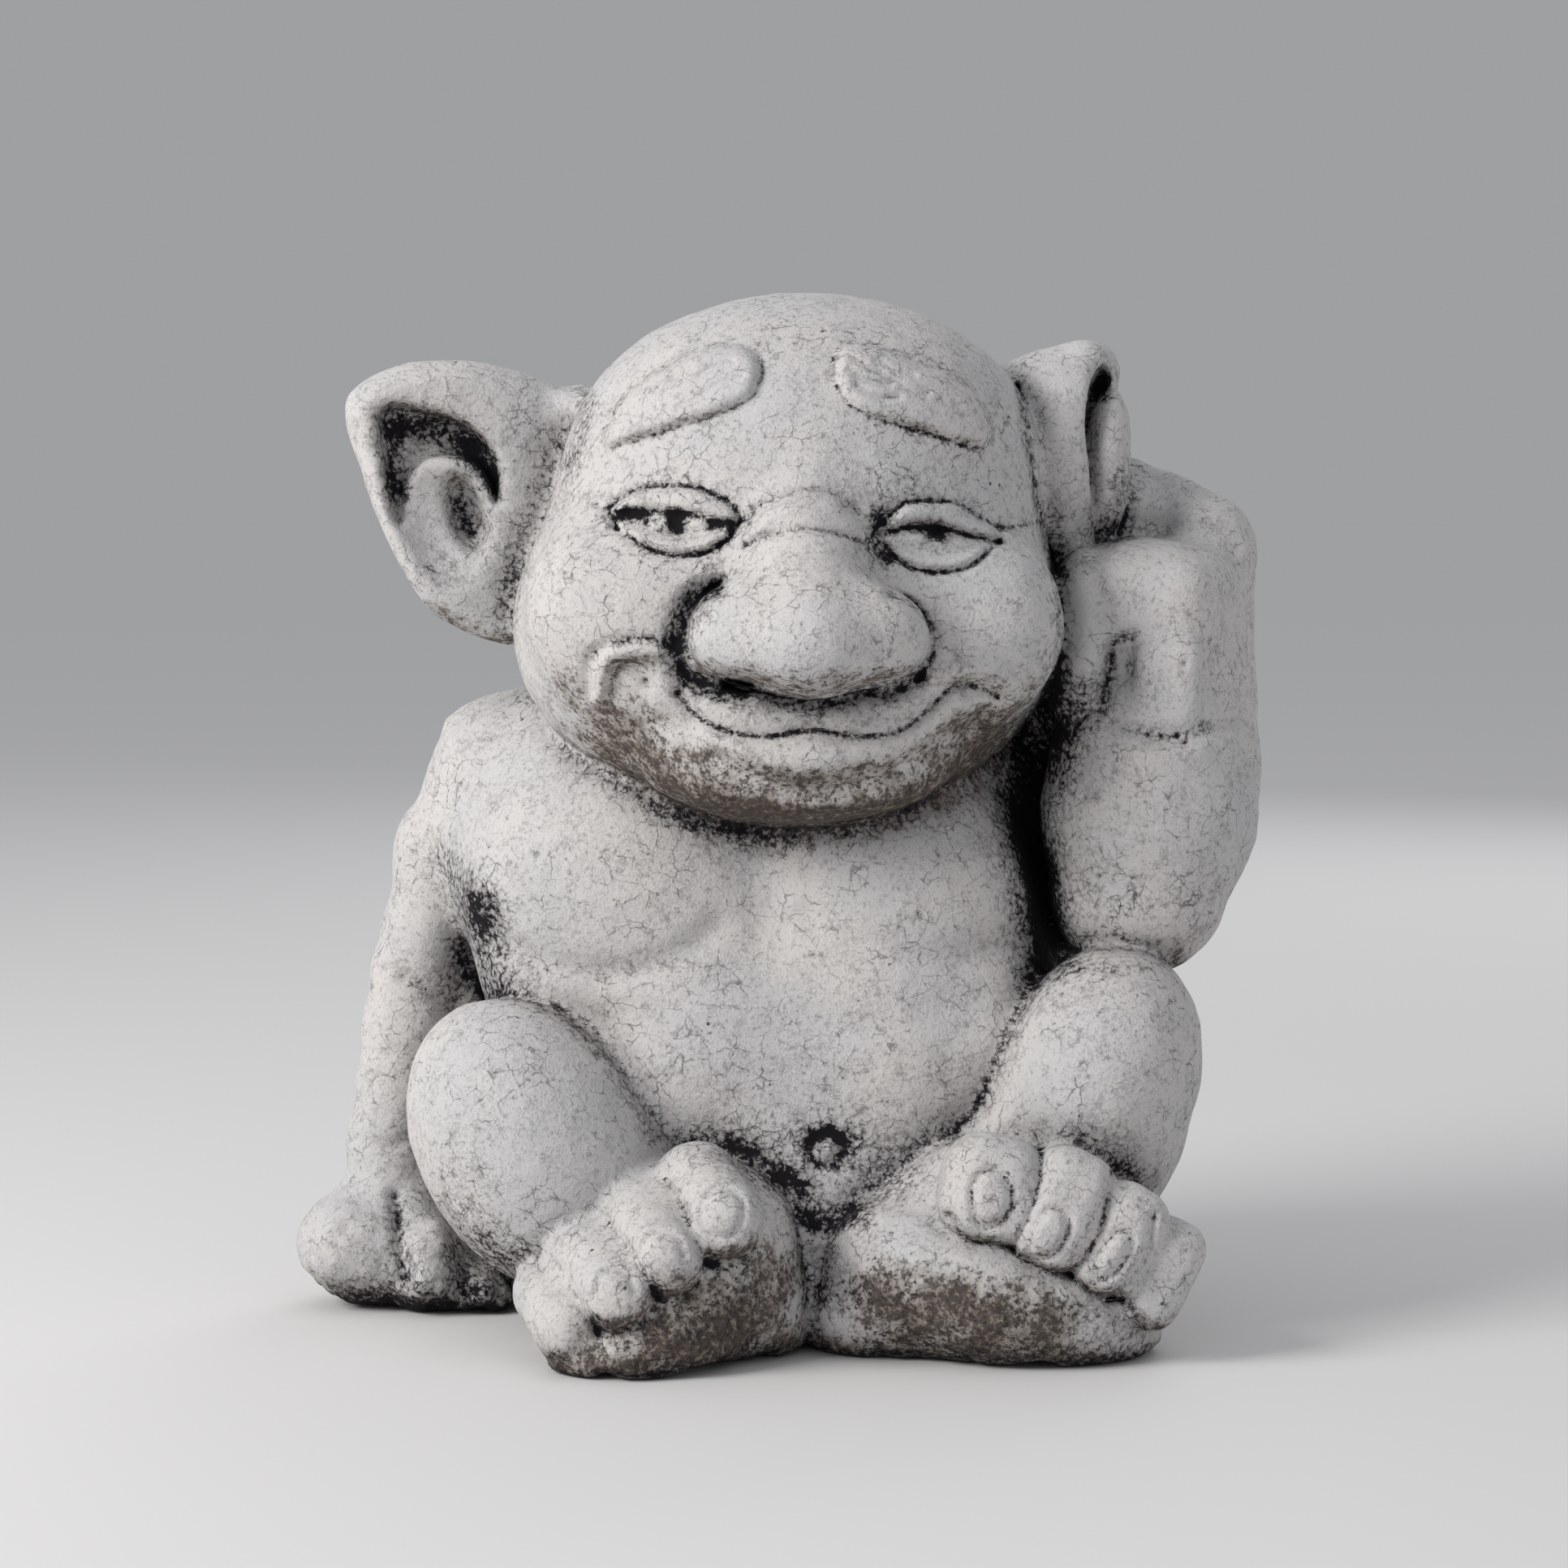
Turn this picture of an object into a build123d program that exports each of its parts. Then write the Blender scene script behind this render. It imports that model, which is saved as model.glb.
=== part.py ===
from build123d import *
import math
import os

# Garden gnome: a bald, big-eared figure that sits cross-legged, one hand
# cupped behind its left ear, the other arm leaning on the ground beside it.
# It is cast stone: a white-cement facing, a lean concrete core poured behind
# it round a few bent reinforcement wires, and a mortar screed that levels the
# pour opening underneath.
#
# Frame: millimetres, +Z up, the figure faces -Y, its own left side is at +X.
# Origin: on the ground, under the middle of the seat.

# ---------------------------------------------------------------- dimensions
FACING = 9.0                    # thickness of the white-cement facing
SCREED_T = 8.0                  # depth of the levelling screed
OPENING_RX, OPENING_RY = 44.0, 27.0   # pour opening under the seat
OPENING_Y = 20.0                # its centre, behind the origin
FOREARM_R = 23.0                # raised forearm at its thickest

EAR_T = 13.0                    # thickness of the spread ear
EAR_EDGE_R = 4.5                # rounding of its rim

SPINE_D = 6.0
SPINE_X, SPINE_Y = 0.0, 6.0
SPINE_Z0, SPINE_Z1 = 14.0, 190.0
ARM_WIRE_D = 4.0
EAR_WIRE_D = 2.5
BAR_GAP = 0.3                   # between the bars inside a tie
ARM_WIRE_OFFSET = SPINE_D / 2 + ARM_WIRE_D / 2 + BAR_GAP   # axis to spine axis
RIGHT_WIRE_X = SPINE_X - ARM_WIRE_OFFSET
LEFT_WIRE_X = SPINE_X + ARM_WIRE_OFFSET

TIE_T, TIE_H = 1.2, 2.0         # tie wire, pulled flat round the bars
TIE_PLAY = 0.1                  # between tie and bar
RIGHT_TIE_Z, LEFT_TIE_Z = 142, 116


# ------------------------------------------------------------------- helpers
def egg(centre, radii, turn=(0, 0, 0), inset=0.0):
    """Ellipsoid with its own radii along x, y, z, turned about its centre."""
    factors = tuple(float(r - inset) for r in radii)
    return Pos(*centre) * Rot(*turn) * scale(Sphere(1.0), by=factors)


def taper(start, end, start_r, end_r, inset=0.0):
    """Round-ended limb from start to end, its radius changing evenly."""
    start, end = Vector(*start), Vector(*end)
    start_r, end_r = start_r - inset, end_r - inset
    length = (end - start).length
    # The straight flank is tangent to both end spheres.
    sine = (start_r - end_r) / length    # of the cone's half angle
    cosine = math.sqrt(1 - sine * sine)
    low = (-math.pi / 2 + math.asin(sine)) / 2     # middle of each end arc
    high = (math.pi / 2 + math.asin(sine)) / 2
    start_pole = (0, -start_r)
    start_flank = (start_r * cosine, start_r * sine)
    end_flank = (end_r * cosine, length + end_r * sine)
    end_pole = (0, length + end_r)
    start_mid = (start_r * math.cos(low), start_r * math.sin(low))
    end_mid = (end_r * math.cos(high), length + end_r * math.sin(high))
    outline = [
        ThreePointArc(start_pole, start_mid, start_flank),
        Line(start_flank, end_flank),
        ThreePointArc(end_flank, end_mid, end_pole),
        Line(end_pole, start_pole),
    ]
    solid = revolve(make_face(outline), Axis.Y, 360)
    return Plane(origin=start, z_dir=(end - start).normalized()) * Rot(X=90) * solid


def joined(pieces):
    out = pieces[0]
    for piece in pieces[1:]:
        out = out + piece
    return out


def modelled(masses, inset=0.0):
    """Join a table of masses, each drawn in by inset."""
    return joined([shape(*values, inset=inset) for shape, *values in masses])


def ground_below(z):
    """Block that fills everything under height z."""
    depth = 100
    return Pos(0, 0, z - depth / 2) * Box(400, 400, depth)


def bent_wire(points, dia, bend=8.0):
    """Round wire along straight legs with rounded bends."""
    path = FilletPolyline(*points, radius=bend)
    disc = Plane(origin=path @ 0, z_dir=path % 0) * Circle(dia / 2)
    return sweep(disc, path=path)


# ------------------------------------------------------------- body masses
# Rows are (egg, centre, radii[, turn in degrees]) or
# (taper, start, end, start radius, end radius).
# The _CORED tables also shape the core; the _SOLID ones are facing throughout.
TORSO_CORED = [
    (egg, (-10, 8, 97), (62.0, 47.0, 46.0)),        # chest
    (egg, (1, 2, 56), (59.0, 50.0, 47.0)),          # belly
    (egg, (1, 24, 17), (62.0, 46.0, 36.0)),         # seat
    (taper, (-60, 10, 112), (5, 8, 132), 24, 31),   # right shoulder
    (taper, (52, 14, 112), (5, 8, 132), 23, 31),    # left shoulder
]
TORSO_SOLID = [                                     # ridges across the chest
    (taper, (-46, -27, 101), (-19, -31, 96), 17, 14),
    (taper, (43, -25, 99), (14, -31, 96), 15, 13.5),
]

HEAD_CORED = [
    (egg, (6, -12, 189), (52.5, 50.0, 37.6)),       # cranium
    (egg, (2, -17, 154), (60.2, 51.0, 44.0)),       # jowls
]
HEAD_SOLID = [
    (egg, (5, -44, 129), (32, 20, 15)),             # chin
    (taper, (5, -58, 174), (7, -70, 154), 9, 14),   # bridge of the nose
    (egg, (7, -76, 151), (13, 13, 10)),             # tip of the nose
    (egg, (-8, -70, 153), (10.5, 10, 9.5)),         # sides of the nose
    (egg, (21, -70, 153), (10.5, 10, 9.5)),
]

# Leaning arm, shoulder to wrist: (axis point), radius
LEANING_LIMB = [
    ((-66, 10, 110), 22), ((-73, 12, 96), 16), ((-80, 12, 80), 12.5),
    ((-84, 11, 64), 11.5), ((-86, 9, 46), 10.5), ((-88, 6, 28), 10.5),
]
LEANING_ARM = [
    (taper, start, end, start_r, end_r)
    for (start, start_r), (end, end_r) in zip(LEANING_LIMB, LEANING_LIMB[1:])
] + [
    (egg, (-85, 7, 12), (22, 21, 14), (0, 15, 0)),  # hand
    (taper, (-90, -2, 19), (-101, -14, 10), 10, 8),  # three fingers
    (taper, (-84, -6, 18), (-86, -20, 9), 10, 8),
    (taper, (-74, -6, 16), (-70, -20, 9), 10, 8),
]

RAISED_ARM_CORED = [
    (taper, (52, 20, 112), (74, 22, 96), 22, 20),   # upper arm
    (taper, (74, 22, 96), (80, -14, 94), 20, 19),   # elbow
    (taper, (80, -19, 97), (82, -19, 110), 20, FOREARM_R),
    (taper, (82, -19, 110), (83, -16, 134), FOREARM_R, 22),
    (egg, (85, -14, 153), (20, 23, 27)),            # hand
]
RAISED_ARM_SOLID = [
    (egg, (68, -20, 151), (8.5, 12, 18)),           # pad inside the hand
    (egg, (89, -2, 174), (15.5, 19, 15.5), (0, 35, 0)),   # top of the hand
    (taper, (93, 4, 173), (80, 12, 183), 13, 9),    # its end behind the ear
    (taper, (80, -32, 158), (82, -34, 138), 8.5, 7.5),    # ridge in front
]

RIGHT_LEG_CORED = [                                 # thigh, knee
    (taper, (-31, 18, 17), (-50, -28, 42), 30, 25),
    (egg, (-52, -40, 43), (25, 27, 33), (0, -30, 0)),
]
RIGHT_SHIN = [(taper, (-47, -40, 37), (-19, -45, 18), 22, 17)]

LEFT_LEG_CORED = [                                  # thigh, knee
    (taper, (38, 18, 17), (67, -22, 50), 30, 23),
    (egg, (68, -33, 54), (22.5, 26, 31), (0, 20, 0)),
]
LEFT_SHIN = [(taper, (66, -34, 43), (30, -42, 20), 20, 17)]

RIGHT_FOOT = [
    (egg, (-23, -55, 17), (29, 27, 22), (0, -35, 0)),
    (egg, (-4, -50, 11), (14, 20, 14)),
    (taper, (-20, -60, 32), (-13, -72, 25), 9.5, 8),      # four toes
    (taper, (-33, -62, 26), (-26, -74, 17), 9.5, 8),
    (taper, (-44, -62, 18), (-37, -74, 10), 9, 7.5),
    (taper, (-53, -60, 12), (-46, -70, 7), 8.5, 7),
]
LEFT_FOOT = [
    (egg, (48, -50, 14), (37, 26, 18), (0, 18, 0)),
    (egg, (22, -46, 11), (18, 22, 14)),
    (taper, (31, -30, 25), (42, -50, 34), 16, 13),        # ridge on top
    (egg, (46, -64, 28), (9.5, 12, 11.5), (0, 20, 0)),    # four toes
    (egg, (60, -66, 23), (8, 12, 12), (0, 20, 0)),
    (egg, (72, -66, 18), (7.5, 12, 11.5), (0, 20, 0)),
    (egg, (83, -64, 14), (7.2, 12, 10.5), (0, 20, 0)),
]

# ---------------------------------------------------------------------- ears
# Middle plane of the spread ear; its normal points to the front.
EAR_PLANE = Plane(origin=(-62, -4, 180), x_dir=(0.97, 0.24, 0), z_dir=(0.24, -0.97, 0))
# Closed outline in that plane: (towards the head, up)
EAR_OUTLINE = [
    (20, 27), (-2, 33), (-22, 33), (-35, 27), (-36, 17), (-30, 0),
    (-24, -16), (-14, -27), (-2, -33), (10, -30), (20, -14),
]


def make_spread_ear():
    """Ear on the figure's right: a rounded plate with a hollowed concha."""
    with BuildSketch() as sketch:
        with BuildLine():
            Spline(*EAR_OUTLINE, periodic=True)
        make_face()
    ear = extrude(sketch.sketch, EAR_T / 2, both=True)
    ear = EAR_PLANE * fillet(ear.edges(), EAR_EDGE_R)
    return ear - egg((-75, -18, 190), (13, 10, 17)) - egg((-70, -17, 178), (11, 9, 14))


def make_cupped_ear():
    """Ear in front of the cupped hand: a cup that opens sideways."""
    ear = modelled([
        (egg, (64, -4, 190), (11, 19, 27), (0, 10, -15)),
        (taper, (65, -6, 195), (70, -4, 212), 11, 6),
    ])
    return ear - egg((76, -11, 191), (9, 12, 20), (0, 5, -10))


# ------------------------------------------------------------ reinforcement
LEANING_WIRE_PATH = [
    (RIGHT_WIRE_X, SPINE_Y, 152), (RIGHT_WIRE_X, SPINE_Y, 122), (-62, 10, 111),
    (-80, 12, 81), (-87, 7.5, 36), (-87, 5, 14),
]
RAISED_WIRE_PATH = [
    (LEFT_WIRE_X, SPINE_Y, 130), (LEFT_WIRE_X, SPINE_Y, 96), (50, 18, 110),
    (75, 19, 97), (79, -13, 97), (82, -17, 132), (87, -6, 168),
]
LEFT_EAR_WIRE_PATH = [(26, 0, 184), (59, 2, 186), (67, -2, 206)]
# Loop in the spread ear, in the axes of EAR_PLANE and behind its middle
RIGHT_EAR_LOOP = [(40, 12), (-16, 21), (-27, 10), (-12, -15), (40, -9)]
RIGHT_EAR_LOOP_W = -2.0


def make_spine():
    return Pos(SPINE_X, SPINE_Y, SPINE_Z0) * Cylinder(
        SPINE_D / 2, SPINE_Z1 - SPINE_Z0, align=(Align.CENTER, Align.CENTER, Align.MIN))


def make_right_ear_wire():
    points = [EAR_PLANE.from_local_coords(Vector(u, v, RIGHT_EAR_LOOP_W))
              for u, v in RIGHT_EAR_LOOP]
    return bent_wire([(p.X, p.Y, p.Z) for p in points], EAR_WIRE_D, bend=4.0)


def make_tie(wire_x, z):
    """Tie pulled flat round the spine and the arm wire beside it."""
    def wrap(offset):
        bars = [(SPINE_X, SPINE_D / 2), (wire_x, ARM_WIRE_D / 2)]
        return make_hull([edge for x, radius in bars
                          for edge in (Pos(x, SPINE_Y) * Circle(radius + offset)).edges()])

    return extrude(Pos(0, 0, z) * (wrap(TIE_T + TIE_PLAY) - wrap(TIE_PLAY)), TIE_H)


# ------------------------------------------------------ skin, core, screed
def make_figure():
    """The whole figure as one solid, cut flat at the ground."""
    return joined([
        modelled(TORSO_CORED + TORSO_SOLID),
        modelled(HEAD_CORED + HEAD_SOLID),
        make_spread_ear(),
        make_cupped_ear(),
        modelled(LEANING_ARM),
        modelled(RAISED_ARM_CORED + RAISED_ARM_SOLID),
        modelled(RIGHT_LEG_CORED + RIGHT_SHIN),
        modelled(LEFT_LEG_CORED + LEFT_SHIN),
        modelled(RIGHT_FOOT),
        modelled(LEFT_FOOT),
    ]) - ground_below(0)


def make_core():
    """The larger masses, drawn in by the facing and cut above the screed."""
    masses = (TORSO_CORED + HEAD_CORED + RIGHT_LEG_CORED + LEFT_LEG_CORED
              + RAISED_ARM_CORED)
    return modelled(masses, inset=FACING) - ground_below(SCREED_T)


def make_screed():
    return Pos(0, OPENING_Y, 0) * extrude(Ellipse(OPENING_RX, OPENING_RY), SCREED_T)


# ------------------------------------------------------------------ assembly
spine = make_spine()
wires = {
    "leaning_arm_wire": bent_wire(LEANING_WIRE_PATH, ARM_WIRE_D),
    "raised_arm_wire": bent_wire(RAISED_WIRE_PATH, ARM_WIRE_D),
    "right_ear_wire": make_right_ear_wire(),
    "left_ear_wire": bent_wire(LEFT_EAR_WIRE_PATH, EAR_WIRE_D, bend=6.0),
}
ties = Part() + [make_tie(RIGHT_WIRE_X, RIGHT_TIE_Z), make_tie(LEFT_WIRE_X, LEFT_TIE_Z)]

core = make_core()
screed = make_screed()
facing = make_figure() - core - screed
for wire in wires.values():
    facing = facing - wire
for bar in [spine, *wires.values(), *ties.solids()]:
    core = core - bar

nodes = {
    "facing_shell": facing,
    "core_fill": core,
    "base_screed": screed,
    "spine_rod": spine,
    **wires,
    "tie_wires": ties,
}
os.makedirs("parts", exist_ok=True)
for name, shape in nodes.items():
    shape.label = name
    export_step(shape, f"parts/{name}.step")
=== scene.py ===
# Garden gnome in weathered cast stone: a seated figure, one casting and so one mesh.
# It faces -Y with the ground at Z = 0, and "left" and "right" are the viewer's, seen from
# the front: left is -X. Masses are added up as a smooth solid field, the field is meshed,
# and the mesh is tooled with strokes along its surface.
# Millimetres until the mesh becomes a Blender object, which is in metres.
import math
import bpy
import numpy as np
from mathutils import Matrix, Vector


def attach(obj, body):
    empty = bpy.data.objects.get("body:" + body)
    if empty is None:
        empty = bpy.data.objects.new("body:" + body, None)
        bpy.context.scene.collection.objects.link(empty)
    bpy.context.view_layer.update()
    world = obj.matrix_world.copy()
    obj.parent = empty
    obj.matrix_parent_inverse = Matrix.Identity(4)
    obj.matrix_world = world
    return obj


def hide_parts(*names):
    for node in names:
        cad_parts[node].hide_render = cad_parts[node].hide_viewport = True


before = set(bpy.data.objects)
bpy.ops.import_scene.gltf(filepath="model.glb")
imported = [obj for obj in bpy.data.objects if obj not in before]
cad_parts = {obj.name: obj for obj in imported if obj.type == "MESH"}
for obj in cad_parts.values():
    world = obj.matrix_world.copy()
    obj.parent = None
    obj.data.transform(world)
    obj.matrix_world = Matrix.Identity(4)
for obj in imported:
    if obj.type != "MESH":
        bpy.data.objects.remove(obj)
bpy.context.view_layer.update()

f32 = np.float32
MESH_MM, QUICK_MESH_MM = 0.75, 2.2              # mesh spacing, full and quick
BOX_LOW, BOX_HIGH = (-116, -112, -2.4), (116, 90, 234)
CURVE_STEPS = 3                                 # steps between the points of a curve
CORNERS = list(np.ndindex(2, 2, 2))             # the corners of a unit cube

# Sculpting view, shared with the camera: a pinhole in front, tilted slightly down.
VIEW_DISTANCE = 950.0
VIEW_TILT = math.radians(4.0)
AIM_X, AIM_Z = 1.5, 117.7
PICTURE_WIDTH = 351.272727
SIN_TILT, COS_TILT = math.sin(VIEW_TILT), math.cos(VIEW_TILT)
EYE = np.array([AIM_X, -VIEW_DISTANCE * COS_TILT, AIM_Z + VIEW_DISTANCE * SIN_TILT])


def project(points):
    """Points of the figure on the view plane, in millimetres from its middle."""
    q = points - EYE.astype(points.dtype)
    scale = VIEW_DISTANCE / (q[:, 1] * COS_TILT - q[:, 2] * SIN_TILT)
    return q[:, 0] * scale, (q[:, 1] * SIN_TILT + q[:, 2] * COS_TILT) * scale


# ------------------------------------------------------ paths on the view plane
def path(text):
    """Points from "u,v u,v ..."; a word stands for the shared path of that name."""
    points = []
    for word in text.split():
        if "," in word:
            points.append(tuple(float(c) for c in word.split(",")))
        else:
            points += path(SHARED_PATHS[word])
    return points


def smooth(points, closed=False):
    """Catmull-Rom curve through the points."""
    P = [np.array(p, float) for p in points]
    count = len(P)
    out = []
    for i in range(count if closed else count - 1):
        if closed:
            a, b, c, d = [P[(i + j) % count] for j in (-1, 0, 1, 2)]
        else:
            a, b, c, d = P[max(i - 1, 0)], P[i], P[i + 1], P[min(i + 2, count - 1)]
        for j in range(CURVE_STEPS):
            t = j / CURVE_STEPS
            out.append(tuple(0.5 * (2 * b + (c - a) * t + (2 * a - 5 * b + 4 * c - d) * t * t
                                    + (3 * b - a - 3 * c + d) * t ** 3)))
    if not closed:
        out.append(tuple(P[-1]))
    return out


def distance_squared(u, v, points):
    """Squared distance to an open line of points."""
    best = np.full(u.shape, 1e9, f32)
    for (ax, ay), (bx, by) in zip(points[:-1], points[1:]):
        dx, dy = bx - ax, by - ay
        t = np.clip(((u - ax) * dx + (v - ay) * dy) / (dx * dx + dy * dy + 1e-9), 0, 1)
        best = np.minimum(best, (u - ax - t * dx) ** 2 + (v - ay - t * dy) ** 2)
    return best


def outline_distance(u, v, points):
    """Signed distance to a closed outline, negative inside."""
    d2 = distance_squared(u, v, list(points) + [points[0]])
    inside = np.zeros(u.shape, bool)
    for (ax, ay), (bx, by) in zip(points, points[1:] + points[:1]):
        if ay != by:
            inside ^= ((ay > v) != (by > v)) & (u < (bx - ax) * (v - ay) / (by - ay) + ax)
    return np.where(inside, -1, 1) * np.sqrt(d2)


# ----------------------------------------------------------------- solid fields
# A form is (field, low corner, high corner, whether it cuts).
def smin(a, b, blend):
    h = np.maximum(blend - np.abs(a - b), 0) / blend
    return np.minimum(a, b) - h * h * blend * 0.25


def smax(a, b, blend):
    return -smin(-a, -b, blend)


def rotation(degrees):
    (cx, sx), (cy, sy), (cz, sz) = [
        (math.cos(a), math.sin(a)) for a in map(math.radians, degrees)]
    about_x = np.array([[1, 0, 0], [0, cx, -sx], [0, sx, cx]])
    about_y = np.array([[cy, 0, sy], [0, 1, 0], [-sy, 0, cy]])
    about_z = np.array([[cz, -sz, 0], [sz, cz, 0], [0, 0, 1]])
    return about_z @ about_y @ about_x


def local_frame(centre, turn):
    """Function that takes points to a form's own axes; turn is in degrees."""
    matrix = None if turn is None else np.array(rotation(turn), f32)

    def local(points):
        q = points - centre
        return q if matrix is None else q @ matrix
    return local


def ball(centre, radii, turn=None):
    """Ellipsoid."""
    centre, radii = np.array(centre, f32), np.array(radii, f32)
    local = local_frame(centre, turn)

    def field(points):
        q = local(points)
        k0 = np.sqrt(((q / radii) ** 2).sum(1))
        k1 = np.sqrt(((q / (radii * radii)) ** 2).sum(1))
        return k0 * (k0 - 1) / np.maximum(k1, 1e-6)
    reach = float(max(radii))
    return field, centre - reach, centre + reach, False


def limb(start, end, start_radius, end_radius):
    """Round cone."""
    start, end = np.array(start, f32), np.array(end, f32)
    axis = end - start
    length2 = float((axis ** 2).sum())

    def field(points):
        q = points - start
        h = np.clip((q @ axis) / length2, 0, 1)
        away = np.sqrt(((q - h[:, None] * axis) ** 2).sum(1))
        return away - (start_radius + (end_radius - start_radius) * h)
    reach = max(start_radius, end_radius)
    return field, np.minimum(start, end) - reach, np.maximum(start, end) + reach, False


def tube(points, radii):
    """Chain of limbs."""
    parts = [limb(*pair) for pair in zip(points[:-1], points[1:], radii[:-1], radii[1:])]

    def field(points):
        d = parts[0][0](points)
        for part in parts[1:]:
            d = smin(d, part[0](points), 3.0)
        return d
    return field, np.min([p[1] for p in parts], 0), np.max([p[2] for p in parts], 0), False


def block(centre, half_size, radius, turn=None):
    """Rounded block."""
    centre = np.array(centre, f32)
    core = np.array(half_size, f32) - radius
    local = local_frame(centre, turn)

    def field(points):
        q = np.abs(local(points)) - core
        outside = np.sqrt((np.maximum(q, 0) ** 2).sum(1))
        return outside + np.minimum(q.max(1), 0) - radius
    reach = float(np.linalg.norm(core) + radius)
    return field, centre - reach, centre + reach, False


def cut(form):
    return form[:3] + (True,)


class Mass:
    """Named rows of (blend, form), added up or cut in order.
    The mass itself joins the figure with its own blend."""
    def __init__(self, name, blend, rows):
        self.name, self.blend, self.rows = name, blend, rows

    def at(self, points):
        d = np.full(len(points), 60.0, f32)
        for blend, (field, low, high, cuts) in self.rows:
            margin = blend + (2.0 if cuts else 12.0)
            idx = np.flatnonzero(((points > low - margin) & (points < high + margin)).all(1))
            if len(idx):
                v = field(points[idx]).astype(f32)
                d[idx] = smax(d[idx], -v, blend) if cuts else smin(d[idx], v, blend)
        return d


# ------------------------------------------------------------------- the figure
TORSO = Mass("torso", 3, [
    (4, ball((-30.7, 4, 99.3), (42, 43, 42))),
    (14, ball((16.9, 4, 98.4), (37, 43, 42))),
    (16, ball((-14.6, 0, 58.4), (42, 47, 46))),
    (14, ball((23.8, 0, 58.4), (41, 47, 46))),
    (14, ball((4.9, -16, 27.9), (31, 34, 26))),
    (8, ball((7.9, -34, 14.9), (12, 22, 15))),
    (10, ball((-47.4, -10, 72.1), (17, 28, 14), (0, 30, 0))),
    (10, ball((47.7, -10, 64.8), (14, 30, 20), (0, -20, 0))),
    (16, ball((0.7, 24, 15.5), (61, 45, 36))),
    (16, limb((-55.8, 12, 111.5), (5, 10, 128.2), 23, 29)),
    (16, limb((49.4, 16, 110.3), (5, 10, 128.2), 22, 29)),
    (16, ball((-36, -22, 97.1), (29, 18, 20))),
    (16, ball((28.9, -22, 94.4), (25, 18, 18))),
    (10, ball((51.9, 28, 92.4), (24, 18, 36))),
    (8, ball((-26.5, 46, 15.6), (31, 24, 30))),
    (8, ball((28.2, 46, 15.6), (31, 24, 30))),
    (18, ball((-30, 41, 96.9), (27, 12, 28), (0, 12, 0))),
    (18, ball((28.8, 41, 96.9), (27, 12, 28), (0, -12, 0))),
    (14, cut(tube([(-1, 68, 112), (1, 66, 80), (2, 66, 50)], [7, 6.5, 8]))),
    (10, cut(tube([(3, 80, 34), (3, 76, 12), (3, 70, -4)], [3, 5, 6])))])

LEANING_ARM = Mass("armL", 3, [
    (6, tube([(-58.4, 10, 113.5), (-72, 12, 101.3), (-79.1, 12, 84.7), (-82.3, 11, 73.7),
              (-84.1, 10, 62.3), (-86.4, 8, 48.1), (-88.7, 6, 36.3)],
             [24.5, 14.6, 10, 9.4, 9.6, 8.6, 7.9])),
    (3, limb((-68.6, 18, 93.4), (-71.6, 16, 68.4), 9, 7.5)),
    (5, limb((-88.7, 6, 35.4), (-86.2, 6, 18.6), 8, 13)),
    (7, ball((-96.7, 0, 13.8), (11.5, 15, 11.5), (0, 20, 0))),
    (6, ball((-87.2, 6, 11.2), (14, 19, 13))),
    (3, ball((-78.1, -4, 9.7), (9.5, 14, 11))),
    (4, ball((-67.3, -2, 3.8), (9, 13, 7)))])

LEFT_LEG = Mass("legL", 3, [
    (4, ball((-52.1, -40, 42.5), (25, 27, 34), (0, -32, 0))),
    (10, limb((-35, 16, 16.9), (-49.6, -22, 37.9), 28, 19)),
    (8, limb((-45.1, -40, 35.5), (-18.8, -45, 16.9), 19, 15))])

RIGHT_LEG = Mass("legR", 3, [
    (4, ball((69.1, -34, 55.8), (22, 26, 30), (0, 20, 0))),
    (8, limb((37.6, 16, 16.9), (67.8, -16, 46.9), 28, 18)),
    (8, limb((65.7, -34, 43.4), (30.2, -42, 19.9), 18, 16)),
    (8, limb((68.6, -30, 42.8), (66.3, -26, 24.2), 17, 14))])

RAISED_ARM = Mass("armR", 2, [
    (4, tube([(79.2, -20, 96.6), (81.5, -19, 111.2), (83.2, -17, 125.3), (84.9, -13, 139.4)],
             [19.6, 23.2, 22.4, 19.5])),
    (8, tube([(51.6, 22, 109.8), (69.7, 27, 97.2), (80.9, 4, 91.9)], [22, 20, 17])),
    (5, block((85, -17, 158.3), (14, 19, 11.5), 9, (0, 0, -20))),
    (4, ball((82.9, -10, 164.2), (18.5, 22, 8.4), (0, 6, -10))),
    (2.5, block((89.4, -21, 140.7), (7.6, 19, 11.5), 5, (0, 0, -20))),
    (2, ball((67.3, -18, 150), (9.5, 15, 21))),
    (3, tube([(78.3, 12, 182.3), (87.8, 9, 176.8), (95.7, 4, 171.7)], [8.6, 9.6, 11])),
    (4, limb((96.1, 0, 167.8), (88.6, -8, 139.2), 10.6, 18)),
    (3, ball((77.9, 4, 176.6), (8.5, 9, 10))),
    (5, ball((63.4, 6, 154), (17, 14, 33))),
    (2, ball((63.5, -5, 154.4), (8, 13, 27)))])

HEAD = Mass("head", 2, [
    (4, ball((6.1, -12, 189.1), (52.2, 50, 37.4))),
    (16, ball((2.2, -17, 153.9), (60, 50, 43.5))),
    (10, ball((4.8, -45, 127.1), (31, 19, 14))),
    (12, ball((-33.2, -46, 159.1), (19, 16, 17))),
    (12, ball((44.5, -45, 154.8), (16, 15, 17))),
    (6, limb((5.6, -58, 175.6), (6, -68, 157.2), 11, 14.5)),
    (7, ball((7.2, -76, 152.1), (15.5, 14, 11))),
    (7, ball((-7.9, -71, 153.8), (10.2, 11, 9.6))),
    (7, ball((21.3, -71, 153.3), (10.2, 11, 9.5))),
    (14, ball((0.4, 31, 127.9), (44, 18, 16)))])

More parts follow.
